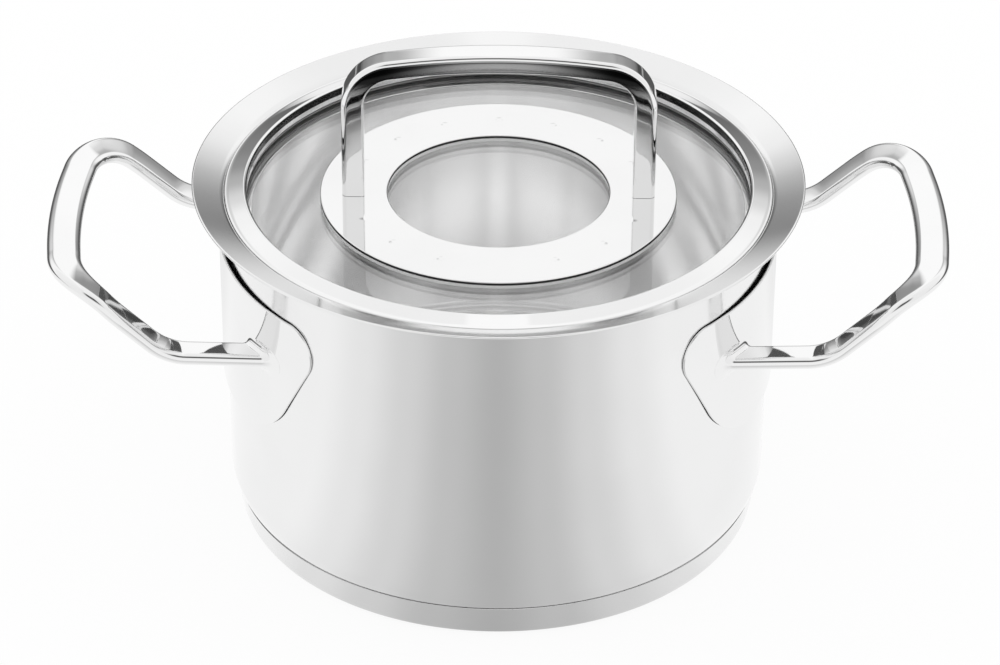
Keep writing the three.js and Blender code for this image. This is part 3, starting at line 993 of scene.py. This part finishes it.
@dataclass(frozen=True)
class WeldPad:
    """A shield of polished sheet that carries the arms of a handle.

    It is bent a little flatter than the wall, so it stands off most in its middle. The limit says
    how far a face looks in before it counts as the back.
    """

    vessel: Vessel
    side: Side
    proud: float = 1.9
    proud_fall: float = 1.0
    fall_length: float = 88.0
    sheet: float = 0.8
    drop: float = 21.5
    height: float = 55.0
    top_half_length: float = 96.6
    foot_half_length: float = 63.3
    top_corner: float = 11.2
    foot_corner: float = 35.0
    edge: float = 0.3
    inward_limit: float = -50.0
    rings: int = 24
    edge_points: int = 8
    outline_step: float = 3.0

    def face_radius(self, length: float | np.ndarray) -> float | np.ndarray:
        """Radius of the outer face at a length along the wall from the pad's middle."""
        fall = self.proud_fall * (length / self.fall_length) ** 2
        return self.vessel.wall_radius + self.proud - fall

    def outline(self) -> Line:
        """The pad laid out flat.

        Returns:
            Length along the wall against height, with outward normals.
        """
        top = self.vessel.height - self.drop
        right = bent_line([
            (0, top - self.height),
            (self.foot_half_length, top - self.height, self.foot_corner),
            (self.top_half_length, top, self.top_corner),
            (0, top),
        ], run_step=self.outline_step)
        mirror = np.array((-1.0, 1.0))
        left = Line(right.points[-2:0:-1] * mirror, right.normals[-2:0:-1] * mirror)
        return Line.joined(right, left).flipped()

    def surface(self) -> Surface:
        """The pad on the right side.

        Rings grow from the middle of the flat pad to its outline, go round the edge by a quarter
        circle and shrink again on the back. A place (length, height) of a ring that lies at a
        radius goes to (radius cos a, radius sin a, height), where a is the length over the face's
        middle radius. The radius falls with the square of the length.

        Returns:
            The closed surface.
        """
        line, middle_radius = self.outline(), self.face_radius(0.0)
        middle = np.array((0.0, self.vessel.height - self.drop - self.height / 2))
        grow = np.linspace(0, 1, self.rings + 1)[1:]
        turn = np.radians(np.linspace(0, 90, self.edge_points)[1:])

        def by_part(face: float, edge: np.ndarray, back: float) -> np.ndarray:
            """A value for each ring: one on the face, several round the edge, one on the back."""
            return np.concatenate((np.full(self.rings, face), edge, np.full(self.rings, back)))

        share = np.concatenate((grow, np.ones(len(turn)), grow[::-1]))
        inset = by_part(self.edge, self.edge * (1 - np.sin(turn)), 0.0)
        depth = by_part(0.0, self.edge * (1 - np.cos(turn)), self.sheet)
        lean = by_part(0.0, turn, math.pi)[:, None, None]
        flat = line.points[None] - inset[:, None, None] * line.normals[None] - middle
        flat = middle + share[:, None, None] * flat
        angle = flat[..., 0] / middle_radius
        away, aside = level(on_circle(angle)), level(left_of(on_circle(angle)))
        radius = self.face_radius(flat[..., 0]) - depth[:, None]
        points = radius[..., None] * away
        points[..., 2] = flat[..., 1]
        flatter = 2 * self.proud_fall * flat[..., 0] / self.fall_length**2
        away = unit(away + flatter[..., None] * aside)
        sideways = line.normals[None, :, :1] * aside
        sideways[..., 2] = line.normals[None, :, 1]
        normals = np.cos(lean) * away + np.sin(lean) * sideways
        poles = [(middle_radius - deep, 0, middle[1]) for deep in (0, self.sheet)]
        return capped(points, normals, np.array(poles), np.array(((1.0, 0, 0), (-1.0, 0, 0))))

    def build(self, wardrobe: Wardrobe) -> None:
        """Makes the pad on its side, with a painted shade on its back faces.

        Args:
            wardrobe: What dresses it.
        """
        surface, side = self.side.placed(self.surface()), self.side.word
        piece = make_piece(
            f"{side}_weld_pad", surface, Body.POT, f"{side}_handle_pad"
        )
        # Painted shade: the back faces, in the shadowed gap against the wall, are dark.
        back = face_data(piece)[2] < self.inward_limit * MM
        wardrobe.dress(piece, Finish.PAD, Finish.SEAM, choice=back)


@dataclass(frozen=True)
class SideHandle:
    """A flat bar bent round an arched grip and up from two level arms welded to the pad.

    The bar's own line starts a few weld radii off the pad, and the weld's rows fill the rest.
    """

    pad: WeldPad
    width: float = 12.2
    thickness: float = 4.7
    edge: float = 2.3
    reach: float = 57.5
    half_length: float = 53.4
    corner: float = 24.5
    arch_radius: float = 260.0
    arch_angle: float = 6.5
    rise: float = 25.5
    bank: float = 3.0
    crown: float = 0.12
    grip_bend: float = 27.0
    arm_spread: float = 55.4
    arm_drop: float = 40.35
    level_run: float = 17.4
    rise_angle: float = 42.5
    arm_bend: float = 17.2
    weld: float = 3.5
    welds_to_root: float = 2.5
    embed: float = 0.4
    flat_points: int = 15
    run_rows: int = 5
    fillet_rows: int = 10

    def side_line(self) -> Line:
        """The bar seen from the side.

        Returns:
            Height of the top face against reach, with the upward normal.
        """
        vessel = self.pad.vessel
        start = vessel.wall_radius + self.level_run
        low = vessel.height - self.arm_drop
        return bent_line([
            (0, low),
            (start, low, self.arm_bend),
            (start + self.rise / tan_of(self.rise_angle), low + self.rise, self.grip_bend),
            (vessel.wall_radius + self.reach + self.width, low + self.rise),
        ], arc_step=0.5)

    def plan(self) -> Line:
        """The bar seen from above.

        Returns:
            Reach against spread of its middle, from the weld of one arm to the other's.
        """
        angle = math.radians(self.arch_angle)
        apex = self.pad.vessel.wall_radius + self.reach
        apex += self.arch_radius * (1 / math.cos(angle) - 1)
        corner = apex - self.half_length * math.tan(angle)
        face = self.pad.face_radius(self.arm_spread)
        root = math.sqrt(face**2 - self.arm_spread**2) + self.welds_to_root * self.weld
        return bent_line([
            (root, -self.arm_spread),
            (corner, -self.half_length, self.corner),
            (apex, 0, self.arch_radius),
            (corner, self.half_length, self.corner),
            (root, self.arm_spread),
        ], arc_step=1.0, run_step=1.2)

    def rows(self) -> np.ndarray:
        """Sections along the bar.

        The plan line gives reach and spread, and the side line the height and slope at each reach.
        The section stands square to the slope: across is the upward normal times the heading. It
        is then banked about the heading, so that the top face leans to the inside of the bend.

        Returns:
            Points as stations by section points by three.
        """
        plan, line = self.plan(), self.side_line()

        def at_reach(values: np.ndarray) -> np.ndarray:
            """Values of the side line at each reach of the plan."""
            return np.interp(plan.points[:, 0], line.points[:, 0], values)

        height = at_reach(line.points[:, 1])
        slope = unit(np.stack([at_reach(line.normals[:, i]) for i in range(2)], axis=-1))
        up = np.stack((slope[:, 0], np.zeros_like(height), slope[:, 1]), axis=-1)
        head = -left_of(plan.normals)
        climb = -head[:, 0] * up[:, 0] / up[:, 2]
        heading = unit(np.concatenate((head, climb[:, None]), axis=1))
        square, bank = np.cross(up, heading), math.radians(self.bank)
        across = math.cos(bank) * square - math.sin(bank) * up
        up = math.cos(bank) * up + math.sin(bank) * square
        centre = np.concatenate((plan.points, height[:, None]), axis=1) - up * self.thickness / 2
        section = bar_section(
            self.width, self.thickness, self.edge, self.edge, self.flat_points, self.crown
        )
        body = (
            centre[:, None]
            + across[:, None] * section[None, :, :1]
            + up[:, None] * section[None, :, 1:]
        )
        first = self.welded(body[0], -heading[0], across[0], up[0], section)
        last = self.welded(body[-1], heading[-1], across[-1], up[-1], section)
        return np.concatenate((first[::-1], body[1:-1], last))

    def welded(
        self,
        ring: np.ndarray,
        inward: np.ndarray,
        across: np.ndarray,
        up: np.ndarray,
        section: np.ndarray,
    ) -> np.ndarray:
        """Rows from a section to the pad, flaring into a weld fillet.

        Nearer the face than the fillet radius the section grows by the fillet's quarter circle.
        Each grown point runs on along the arm to a circle just inside the pad's face, and stands
        back from it by its row's distance.

        Args:
            ring: Points of the section where the weld starts.
            inward: Direction of the arm towards the pad.
            across: First direction of the section.
            up: Second direction of the section.
            section: The section's own points.

        Returns:
            The rows, outermost first.
        """
        radius = self.pad.face_radius(self.arm_spread) - self.embed

        def reach(points: np.ndarray) -> np.ndarray:
            """Way from points along the arm to the circle."""
            along = points[..., :2] @ inward[:2]
            return -along - np.sqrt(along**2 - (points[..., :2] ** 2).sum(axis=-1) + radius**2)

        span = reach(ring)
        out = unit(-left_of(np.roll(section, -1, axis=0) - np.roll(section, 1, axis=0)))
        outward = out[:, :1] * across + out[:, 1:] * up
        run = np.linspace(1, 0, self.run_rows)[:-1, None]
        fillet = 1 - np.sin(np.radians(np.linspace(0, 90, self.fillet_rows)))
        clear = np.concatenate((
            run * (span - self.weld - self.embed)[None] + self.weld,
            self.weld * fillet[:, None] + 0 * span[None],
        ))
        rest = np.clip(1 - clear / self.weld, 0, 1)
        grown = self.weld * (1 - np.sqrt(1 - rest**2))
        distance = np.concatenate((clear + self.embed, 0 * span[None]))
        grown = np.concatenate((grown, np.full((1, len(span)), self.weld)))
        sides = ring[None] + grown[..., None] * outward[None]
        return sides + (reach(sides) - distance)[..., None] * inward

    def build(self, wardrobe: Wardrobe) -> None:
        """Sweeps the bar and puts it on the pad's side.

        Args:
            wardrobe: What dresses it.
        """
        surface, side = self.pad.side.placed(swept(self.rows())), self.pad.side.word
        piece = make_piece(
            f"{side}_side_handle", surface, Body.POT, f"{side}_handle"
        )
        wardrobe.dress(piece, Finish.HANDLE)


# The lid


@dataclass(frozen=True)
class LidRim:
    """The rolled rim: a flange in the flare, a step down and a channel round the glass.

    The upper part of the step, down between two depths under the crest, carries a painted shade
    for the shadow in the groove, and the underside of the ledge is satin.
    """

    vessel: Vessel
    sheet: float = 0.8
    clearance: float = 2.0
    seat_gap: float = 0.25
    tip_gap: float = 0.04
    overlap: float = 0.1
    flange_width: float = 7.6
    crown: float = 0.3
    flange_fall: float = 15.0
    flange_flat: float = 0.8
    flange_bend: float = 6.0
    step_bend: float = 0.7
    shade_top: float = 0.5
    shade_bottom: float = 3.1
    shade_inward: float = -0.7
    satin_height: float = 1.0
    satin_downward: float = -0.5
    channel_bend: float = 0.6
    ledge_width: float = 5.0
    glass_thickness: float = 4.0
    glass_depth: float = 5.75
    seal_thickness: float = 0.7
    seal_lip: float = 2.8
    segments: int = 360

    def tip(self) -> Span:
        """The flange's edge, resting in the flare's bend.

        Returns:
            Radius and height of its middle.
        """
        vessel = self.vessel
        bend_radius = vessel.wall_radius - vessel.sheet / 2 + vessel.flare_bend
        bend_height = vessel.flare_foot() - vessel.flare_bend * tan_of(
            (90 - vessel.flare_angle) / 2
        )
        radius = vessel.wall_radius - vessel.sheet + self.overlap
        reach = vessel.flare_bend + vessel.sheet / 2 + self.seat_gap + self.sheet / 2
        return radius, bend_height + math.sqrt(reach**2 - (bend_radius - radius) ** 2)

    def glass_top(self) -> float:
        """Height of the top of the glass."""
        return self.tip()[1] + self.crown + self.sheet / 2 - self.glass_depth

    def bedding(self) -> float:
        """Seal and its two gaps between glass and channel."""
        return 2 * self.seat_gap + self.seal_thickness

    def channel_radius(self) -> float:
        """Radius of the middle of the channel's upright wall."""
        return self.vessel.wall_radius - self.vessel.sheet - self.clearance - self.sheet / 2

    def glass_radius(self) -> float:
        """Radius of the glass."""
        return self.channel_radius() - self.sheet / 2 - self.bedding()

    def build(self, wardrobe: Wardrobe) -> None:
        """Revolves the rim and the seal that wraps the edge of the glass.

        Args:
            wardrobe: What dresses it.
        """
        tip_radius, tip_height = self.tip()
        tip_height -= self.seat_gap - self.tip_gap
        step = tip_radius - self.flange_width + self.sheet / 2
        seat = tip_radius - self.flange_flat
        crest = tip_height + (seat - step) * tan_of(self.flange_fall)
        top = self.glass_top() + self.bedding() + self.sheet / 2
        bottom = self.glass_top() - self.glass_thickness - self.bedding() - self.sheet / 2
        middle = bent_line([
            (tip_radius, tip_height),
            (seat, tip_height, self.flange_bend),
            (step, crest, self.step_bend),
            (step, top, self.channel_bend),
            (self.channel_radius(), top, self.channel_bend),
            (self.channel_radius(), bottom, self.channel_bend),
            (self.glass_radius() - self.ledge_width, bottom),
        ], arc_step=6.0, run_step=0.5)
        surface = revolve(sheet_outline(middle, self.sheet, from_axis=False), self.segments)
        rim = make_piece("lid_rolled_rim", surface, Body.LID, "lid_rim")
        place, facing, out = face_data(rim)
        # Painted shade: faces of the upper step, where the groove lies in shadow, take the dark
        # step finish.
        inward = out < self.shade_inward * np.hypot(*place[:, :2].T)
        below = crest * MM + self.sheet * MM / 2 - place[:, 2]
        painted_shade_faces = inward & (below > self.shade_top * MM) & (below < self.shade_bottom * MM)
        low = place[:, 2] < (bottom + self.satin_height) * MM
        under = (facing[:, 2] < self.satin_downward) & low
        wardrobe.dress(
            rim, Finish.LID, Finish.STEP, Finish.UNDER, choice=painted_shade_faces + 2 * under
        )
        self.build_seal(wardrobe)
        wardrobe.dress(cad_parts["lid_glass"], Finish.GLASS)

    def build_seal(self, wardrobe: Wardrobe) -> None:
        """Revolves the seal, a channel of even thickness about the glass edge.

        Args:
            wardrobe: What dresses it.
        """
        away = self.seat_gap + self.seal_thickness / 2
        radius, lip = self.glass_radius() + away, self.glass_radius() - self.seal_lip
        top, bottom = self.glass_top() + away, self.glass_top() - self.glass_thickness - away
        middle = bent_line([
            (lip, top), (radius, top, away), (radius, bottom, away), (lip, bottom)
        ])
        outline = sheet_outline(middle, self.seal_thickness, from_axis=False)
        surface = revolve(outline, self.segments)
        seal = make_piece("lid_glass_seal", surface, Body.LID, "glass_seal")
        wardrobe.dress(seal, Finish.SEAL)


@dataclass(frozen=True)
class HandlePlate:
    """The ring plate on the glass that carries the bow, with pressed nubs and a gasket.

    Its top face has fine steps where the nubs are, and faces near upright, its cut edges, carry a
    painted shade.
    """

    rim: LidRim
    outer: float = 64.9
    inner: float = 40.5
    thickness: float = 1.4
    edge: float = 0.35
    edge_step: float = 15.0
    upright_limit: float = 0.3
    gasket_thickness: float = 0.7
    gasket_inset: float = 0.1
    gasket_gap: float = 0.05
    gasket_edge: float = 0.1
    gasket_segments: int = 360
    nub_count: int = 16
    nub_radius: float = 2.4
    nub_height: float = 0.15
    nub_margin: float = 0.4
    nub_step: float = 0.2
    segments: int = 720

    def bottom(self) -> float:
        """Height of the plate's underside."""
        return self.rim.glass_top() + 2 * self.rim.seat_gap + self.gasket_thickness

    def top(self) -> float:
        """Height of the plate's top face."""
        return self.bottom() + self.thickness

    def leg_line(self) -> float:
        """Distance of the legs and the nubs from the axis."""
        return (self.inner + self.outer) / 2

    def ring(self, inner: float, outer: float, bottom: float, top: float, edge: float) -> Line:
        """Outline of a flat ring with rounded edges, and fine steps on top where nubs can stand.

        Args:
            inner: Inner radius.
            outer: Outer radius.
            bottom: Height of the underside.
            top: Height of the top face.
            edge: Radius of the rounded edges.

        Returns:
            The outline, normals outward.
        """
        middle, half_way = (inner + outer) / 2, (inner, (bottom + top) / 2)
        low = bent_line([
            half_way,
            (inner, bottom, edge),
            (outer, bottom, edge),
            (outer, top, edge),
            (middle, top),
        ], arc_step=self.edge_step)
        high = bent_line(
            [(middle, top), (inner, top, edge), half_way], arc_step=self.edge_step
        )
        fine = np.arange(
            middle + self.nub_radius + self.nub_margin,
            middle - self.nub_radius - self.nub_margin,
            -self.nub_step,
        )
        face = np.stack((fine, np.full_like(fine, top)), axis=-1)
        face = Line(face, np.tile((0.0, -1.0), (len(fine), 1)))
        return Line.joined(low[:-1], face, high[1:-1]).flipped()

    def nubbed(self, surface: Surface) -> Surface:
        """A ring with nubs on its top face.

        Each nub raises the top face by its height times the squared cosine of a quarter turn over
        its radius. None stands under a leg or on the front.

        Args:
            surface: The plain ring.

        Returns:
            The ring with raised points and leaning normals.
        """
        bare = (0, self.nub_count // 2, 3 * self.nub_count // 4)
        kept = [i for i in range(self.nub_count) if i not in bare]
        nubs = self.leg_line() * on_circle(np.array(kept) * (2 * math.pi / self.nub_count))
        points, normals = surface.points.copy(), surface.normals.copy()
        on_top = points[:, 2] > self.top() - CLOSE
        away = points[on_top, None, :2] - nubs[None]
        distance = np.linalg.norm(away, axis=-1)
        turn = np.clip(distance / self.nub_radius, 0, 1) * (math.pi / 2)
        points[on_top, 2] += (self.nub_height * np.cos(turn) ** 2).sum(axis=1)
        steep = self.nub_height * np.sin(2 * turn) * (math.pi / 2) / self.nub_radius
        lean = (steep / np.maximum(distance, TINY))[..., None] * away
        normals[on_top, :2] += lean.sum(axis=1)
        return Surface(points, surface.faces, unit(normals))

    def build(self, wardrobe: Wardrobe) -> None:
        """Builds the plate and the gasket that fills the gap under it.

        Args:
            wardrobe: What dresses it.
        """
        ring = self.ring(self.inner, self.outer, self.bottom(), self.top(), self.edge)
        surface = self.nubbed(revolve(ring, self.segments))
        plate = make_piece("lid_ring_plate", surface, Body.LID, "handle_plate")
        # Painted shade: the upright cut edges are dark, for the shadow at the edge and in the gap
        # under it.
        upright = np.abs(face_data(plate)[1][:, 2]) < self.upright_limit
        wardrobe.dress(plate, Finish.PLATE, Finish.SEAM, choice=upright)
        ring = self.ring(
            self.inner + self.gasket_inset,
            self.outer - self.gasket_inset,
            self.rim.glass_top() + self.gasket_gap,
            self.bottom() - self.gasket_gap,
            self.gasket_edge,
        )
        surface = revolve(ring, self.gasket_segments)
        gasket = make_piece("lid_plate_gasket", surface, Body.LID, "plate_gasket")
        wardrobe.dress(gasket, Finish.SILICONE)


@dataclass(frozen=True)
class Bow:
    """The lid's handle: two heavy legs and a lighter arched top.

    Faces that look along Y by more than the limit are its flanks, which carry a painted dark
    reflection that deepens towards the corners of the top bar.
    """

    plate: HandlePlate
    height: float = 57.5
    leg_thickness: float = 8.1
    top_thickness: float = 6.8
    depth: float = 11.0
    arch_radius: float = 265.0
    arch_angle: float = 8.0
    corner: float = 15.0
    outer_edge: float = 2.0
    inner_edge: float = 0.8
    foot_gap: float = 0.1
    painted_reflection_flank_limit: float = 0.97

    def build(self, wardrobe: Wardrobe) -> None:
        """Sweeps the bar along an arch between two legs.

        The thickness eases from the legs' to the top's as the middle line climbs the corners.

        Args:
            wardrobe: What dresses it.
        """
        plate_top, leg = self.plate.top(), self.plate.leg_line()
        angle = math.radians(self.arch_angle)
        crown = plate_top + self.height - self.top_thickness / 2
        apex = crown + self.arch_radius * (1 / math.cos(angle) - 1)
        shoulder = apex - leg * math.tan(angle)
        foot = plate_top + self.foot_gap
        line = bent_line([
            (-leg, foot),
            (-leg, shoulder, self.corner),
            (0, apex, self.arch_radius),
            (leg, shoulder, self.corner),
            (leg, foot),
        ], arc_step=1.0, run_step=2.0)
        share = np.clip(
            (line.points[:, 1] - shoulder + self.corner) / (crown - shoulder + self.corner), 0, 1
        )
        ease = share * share * (3 - 2 * share)
        thickness = self.leg_thickness + (self.top_thickness - self.leg_thickness) * ease
        section = bar_section(self.depth, self.leg_thickness, self.outer_edge, self.inner_edge)
        across, up = section.T
        stretch = (thickness - self.leg_thickness)[:, None] / 2 * np.sign(up)
        flat = np.abs(up) < self.leg_thickness / 2 - self.outer_edge
        stretch = np.where(flat, stretch * np.abs(up) * 2 / self.leg_thickness, stretch)
        out = up + stretch
        rows = np.stack((
            line.points[:, :1] + line.normals[:, :1] * out,
            np.broadcast_to(across, out.shape),
            line.points[:, 1:] + line.normals[:, 1:] * out,
        ), axis=-1)
        piece = make_piece("lid_bow_handle", swept(rows), Body.LID, "lid_bow")
        # Painted reflection: the flanks are darkened in colour, most towards the corners of the top
        # bar.
        flank = np.abs(face_data(piece)[1][:, 1]) > self.painted_reflection_flank_limit
        wardrobe.dress(piece, Finish.HANDLE, Finish.PAINTED_REFLECTION_FLANK, choice=flank)


class Fixings:
    """Bush, washer and screw under each leg, which show only when the lid is seen from below."""

    finishes: dict[str, Finish] = {
        "glass_bush": Finish.SILICONE,
        "screw_washer": Finish.FIXING,
        "handle_screw": Finish.FIXING,
    }

    def build(self, wardrobe: Wardrobe) -> None:
        """Dresses the fixings on both sides.

        Args:
            wardrobe: What dresses it.
        """
        for side in Side:
            for part, finish in self.finishes.items():
                wardrobe.dress(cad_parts[f"{side.word}_{part}"], finish)


# The studio


@dataclass(frozen=True)
class Camera:
    """The photograph's view. The far clip is in metres and the roll in radians."""

    lens: float = 145.10
    sensor: float = 36.0
    distance: float = 1500.0
    elevation: float = 32.126
    aim_height: float = 68.85
    roll: float = 0.0067
    shift: float = 0.00244
    far_clip: float = 50.0

    def build(self) -> None:
        """Places the camera in the YZ plane, looking at the aim point."""
        data = bpy.data.cameras.new("camera")
        data.sensor_width, data.lens, data.shift_x = self.sensor, self.lens, self.shift
        data.clip_end = self.far_clip
        camera = bpy.data.objects.new("camera", data)
        bpy.context.scene.collection.objects.link(camera)
        angle = math.radians(self.elevation)
        place = (
            0,
            -self.distance * math.cos(angle) * MM,
            (self.aim_height + self.distance * math.sin(angle)) * MM,
        )
        camera.matrix_world = (
            Matrix.Translation(place)
            @ Matrix.Rotation(math.pi / 2 - angle, 4, "X")
            @ Matrix.Rotation(self.roll, 4, "Z")
        )
        bpy.context.scene.camera = camera


@dataclass(frozen=True)
class Studio:
    """White table and soft overhead light, as polished steel sees them.

    The world's levels are given by elevation, for the side behind the pot and the camera's side,
    and turns are counted from straight behind the pot. Away from the middle the levels behind are
    looked up higher, and in the middle a bright window stands. Floor sizes are metres, and the
    floor's near levels go by the share of a quarter turn from front and back to the sides.
    """

    back: Stops = (
        (-90, 0.9), (-4, 0.9), (-2, 0.4), (0, 0.08), (5, 0.07), (9, 0.16), (17, 0.25),
        (22, 0.32), (27, 0.5), (32, 0.78), (37, 1.02), (45, 1.08), (60, 1.0), (90, 1.0),
    )
    front: Stops = (
        (-90, 0.9), (0, 1.0), (20, 1.0), (33, 1.0), (38, 0.7), (43, 0.33), (48, 0.1), (60, 0.08),
        (66, 0.5), (72, 1.0), (90, 1.05),
    )
    beside: float = 0.95
    fill: float = 1.1
    lift_turn: float = 15.0
    lift_heights: Span = (2.0, 10.0)
    lift_share: float = 0.7
    beside_turns: Span = (55.0, 115.0)
    front_turns: Span = (135.0, 160.0)
    window_turns: Span = (13.0, 5.0)
    window_heights: Span = (16.0, 24.0)
    window_levels: Span = (0.85, 1.1)
    window_foot: Span = (-1.0, 2.0)
    floor_size: float = 6.0
    floor_near: Stops = ((0, 0.5), (0.17, 0.6), (0.34, 0.75), (0.52, 0.9), (0.7, 1.0))
    floor_near_reach: Span = (0.34, 0.6)
    floor_behind: Span = (0.2, 0.32)
    floor_behind_level: float = 0.1
    floor_colour: Colour = (0.9, 0.9, 0.9)
    floor_shadow: float = 0.1
    bounces: int = 24
    glossy_bounces: int = 16

    @staticmethod
    def seen_in_polish(nodes: Nodes) -> Socket:
        """1 for rays that come off metal or through glass, and 0 for others."""
        path = nodes.add("ShaderNodeLightPath").outputs
        return nodes.math("MAXIMUM", path["Is Glossy Ray"], path["Is Transmission Ray"])

    def build_world(self) -> None:
        """White to the camera, even to matt surfaces, and graded by direction to polish."""
        world = bpy.data.worlds.new("studio")
        world.use_nodes = True
        bpy.context.scene.world = world
        nodes = Nodes(world.node_tree)
        world.node_tree.nodes.clear()
        x, y, z = nodes.split(nodes.add("ShaderNodeTexCoord").outputs["Generated"])
        height = nodes.math("ARCSINE", z)
        turned = nodes.math("ARCTAN2", nodes.math("ABSOLUTE", x), y)

        def over(angle: Socket, span: Span, *levels: float) -> Socket:
            """A level eased over a span of degrees."""
            return nodes.eased(angle, *np.radians(span), *levels)

        aside = nodes.math("SUBTRACT", turned, math.radians(self.lift_turn))
        aside = nodes.math("MAXIMUM", aside, 0.0)
        lift = nodes.math("MULTIPLY", aside, over(height, self.lift_heights, 0.0, self.lift_share))
        levels = []
        for angle, stops in ((nodes.math("ADD", height, lift), self.back), (height, self.front)):
            place = nodes.math("MULTIPLY_ADD", angle, 1 / math.pi, 0.5)
            shares = [((degrees + 90) / 180, value / RAMP_TOP) for degrees, value in stops]
            levels.append(nodes.math("MULTIPLY", nodes.ramp(place, shares), RAMP_TOP))
        ahead = nodes.mixed(over(turned, self.front_turns), self.beside, levels[1])
        dome = nodes.mixed(over(turned, self.beside_turns), levels[0], ahead)
        window = nodes.math(
            "MULTIPLY",
            over(turned, self.window_turns),
            over(height, self.window_heights, *self.window_levels),
        )
        window = nodes.math("MULTIPLY", window, over(height, self.window_foot))
        polish = nodes.math("MAXIMUM", dome, window)
        path = nodes.add("ShaderNodeLightPath").outputs
        plain = nodes.mixed(path["Is Camera Ray"], self.fill, 1.0)
        strength = nodes.mixed(self.seen_in_polish(nodes), plain, polish)
        light = nodes.add("ShaderNodeBackground", {"Strength": strength, "Color": (1, 1, 1, 1)})
        nodes.add("ShaderNodeOutputWorld", {"Surface": light.outputs[0]})

    def build_floor(self) -> None:
        """A white floor that keeps a soft shadow.

        Polish sees it greyer close to the pot, most of all in front and behind, and almost black
        far behind the pot.
        """
        half = self.floor_size / 2
        corners = [(-half, -half, 0), (half, -half, 0), (half, half, 0), (-half, half, 0)]
        mesh = bpy.data.meshes.new("floor")
        mesh.from_pydata(corners, [], [(0, 1, 2, 3)])
        floor = bpy.data.objects.new("floor", mesh)
        bpy.context.scene.collection.objects.link(floor)
        made, nodes, _ = new_material("white table")
        mesh.materials.append(made)
        made.node_tree.nodes.clear()
        place = nodes.split(nodes.place())
        x, y = (nodes.math("ABSOLUTE", side) for side in place[:2])
        angle = nodes.math("DIVIDE", nodes.math("ARCTAN2", x, y), math.pi / 2)
        away = nodes.eased(nodes.length(x, y), *self.floor_near_reach)
        strength = nodes.mixed(away, nodes.ramp(angle, self.floor_near), 1.0)
        behind = nodes.eased(place[1], *self.floor_behind)
        strength = nodes.mixed(behind, strength, self.floor_behind_level)
        white = nodes.add("ShaderNodeEmission")
        matt = nodes.add("ShaderNodeBsdfDiffuse", {"Color": (*self.floor_colour, 1)})
        seen = nodes.add("ShaderNodeEmission", {"Strength": strength})

        def blend(share: object, *shaders: bpy.types.Node) -> bpy.types.Node:
            """A mix of two shaders."""
            first, second = (shader.outputs[0] for shader in shaders)
            return nodes.add("ShaderNodeMixShader", {0: share, 1: first, 2: second})

        soft = blend(self.floor_shadow, white, matt)
        whole = blend(self.seen_in_polish(nodes), soft, seen)
        nodes.add("ShaderNodeOutputMaterial", {0: whole.outputs[0]})

    def build(self) -> None:
        """Sets the world, the floor, the view transform and enough bounces for the cavity."""
        self.build_world()
        self.build_floor()
        scene = bpy.context.scene
        scene.view_settings.view_transform = "Standard"
        scene.cycles.max_bounces = self.bounces
        scene.cycles.glossy_bounces = self.glossy_bounces


def main() -> None:
    """Builds the camera, the studio, the pot and the lid, in that order."""
    logging.basicConfig(level=logging.INFO, format="%(name)s %(message)s")
    Camera().build()
    Studio().build()
    wardrobe = Wardrobe()
    vessel = Vessel()
    vessel.build(wardrobe)
    Base(vessel).build(wardrobe)
    for side in Side:
        pad = WeldPad(vessel, side)
        pad.build(wardrobe)
        SideHandle(pad).build(wardrobe)
    rim = LidRim(vessel)
    rim.build(wardrobe)
    plate = HandlePlate(rim)
    plate.build(wardrobe)
    Bow(plate).build(wardrobe)
    Fixings().build(wardrobe)


if __name__ == "__main__":
    main()
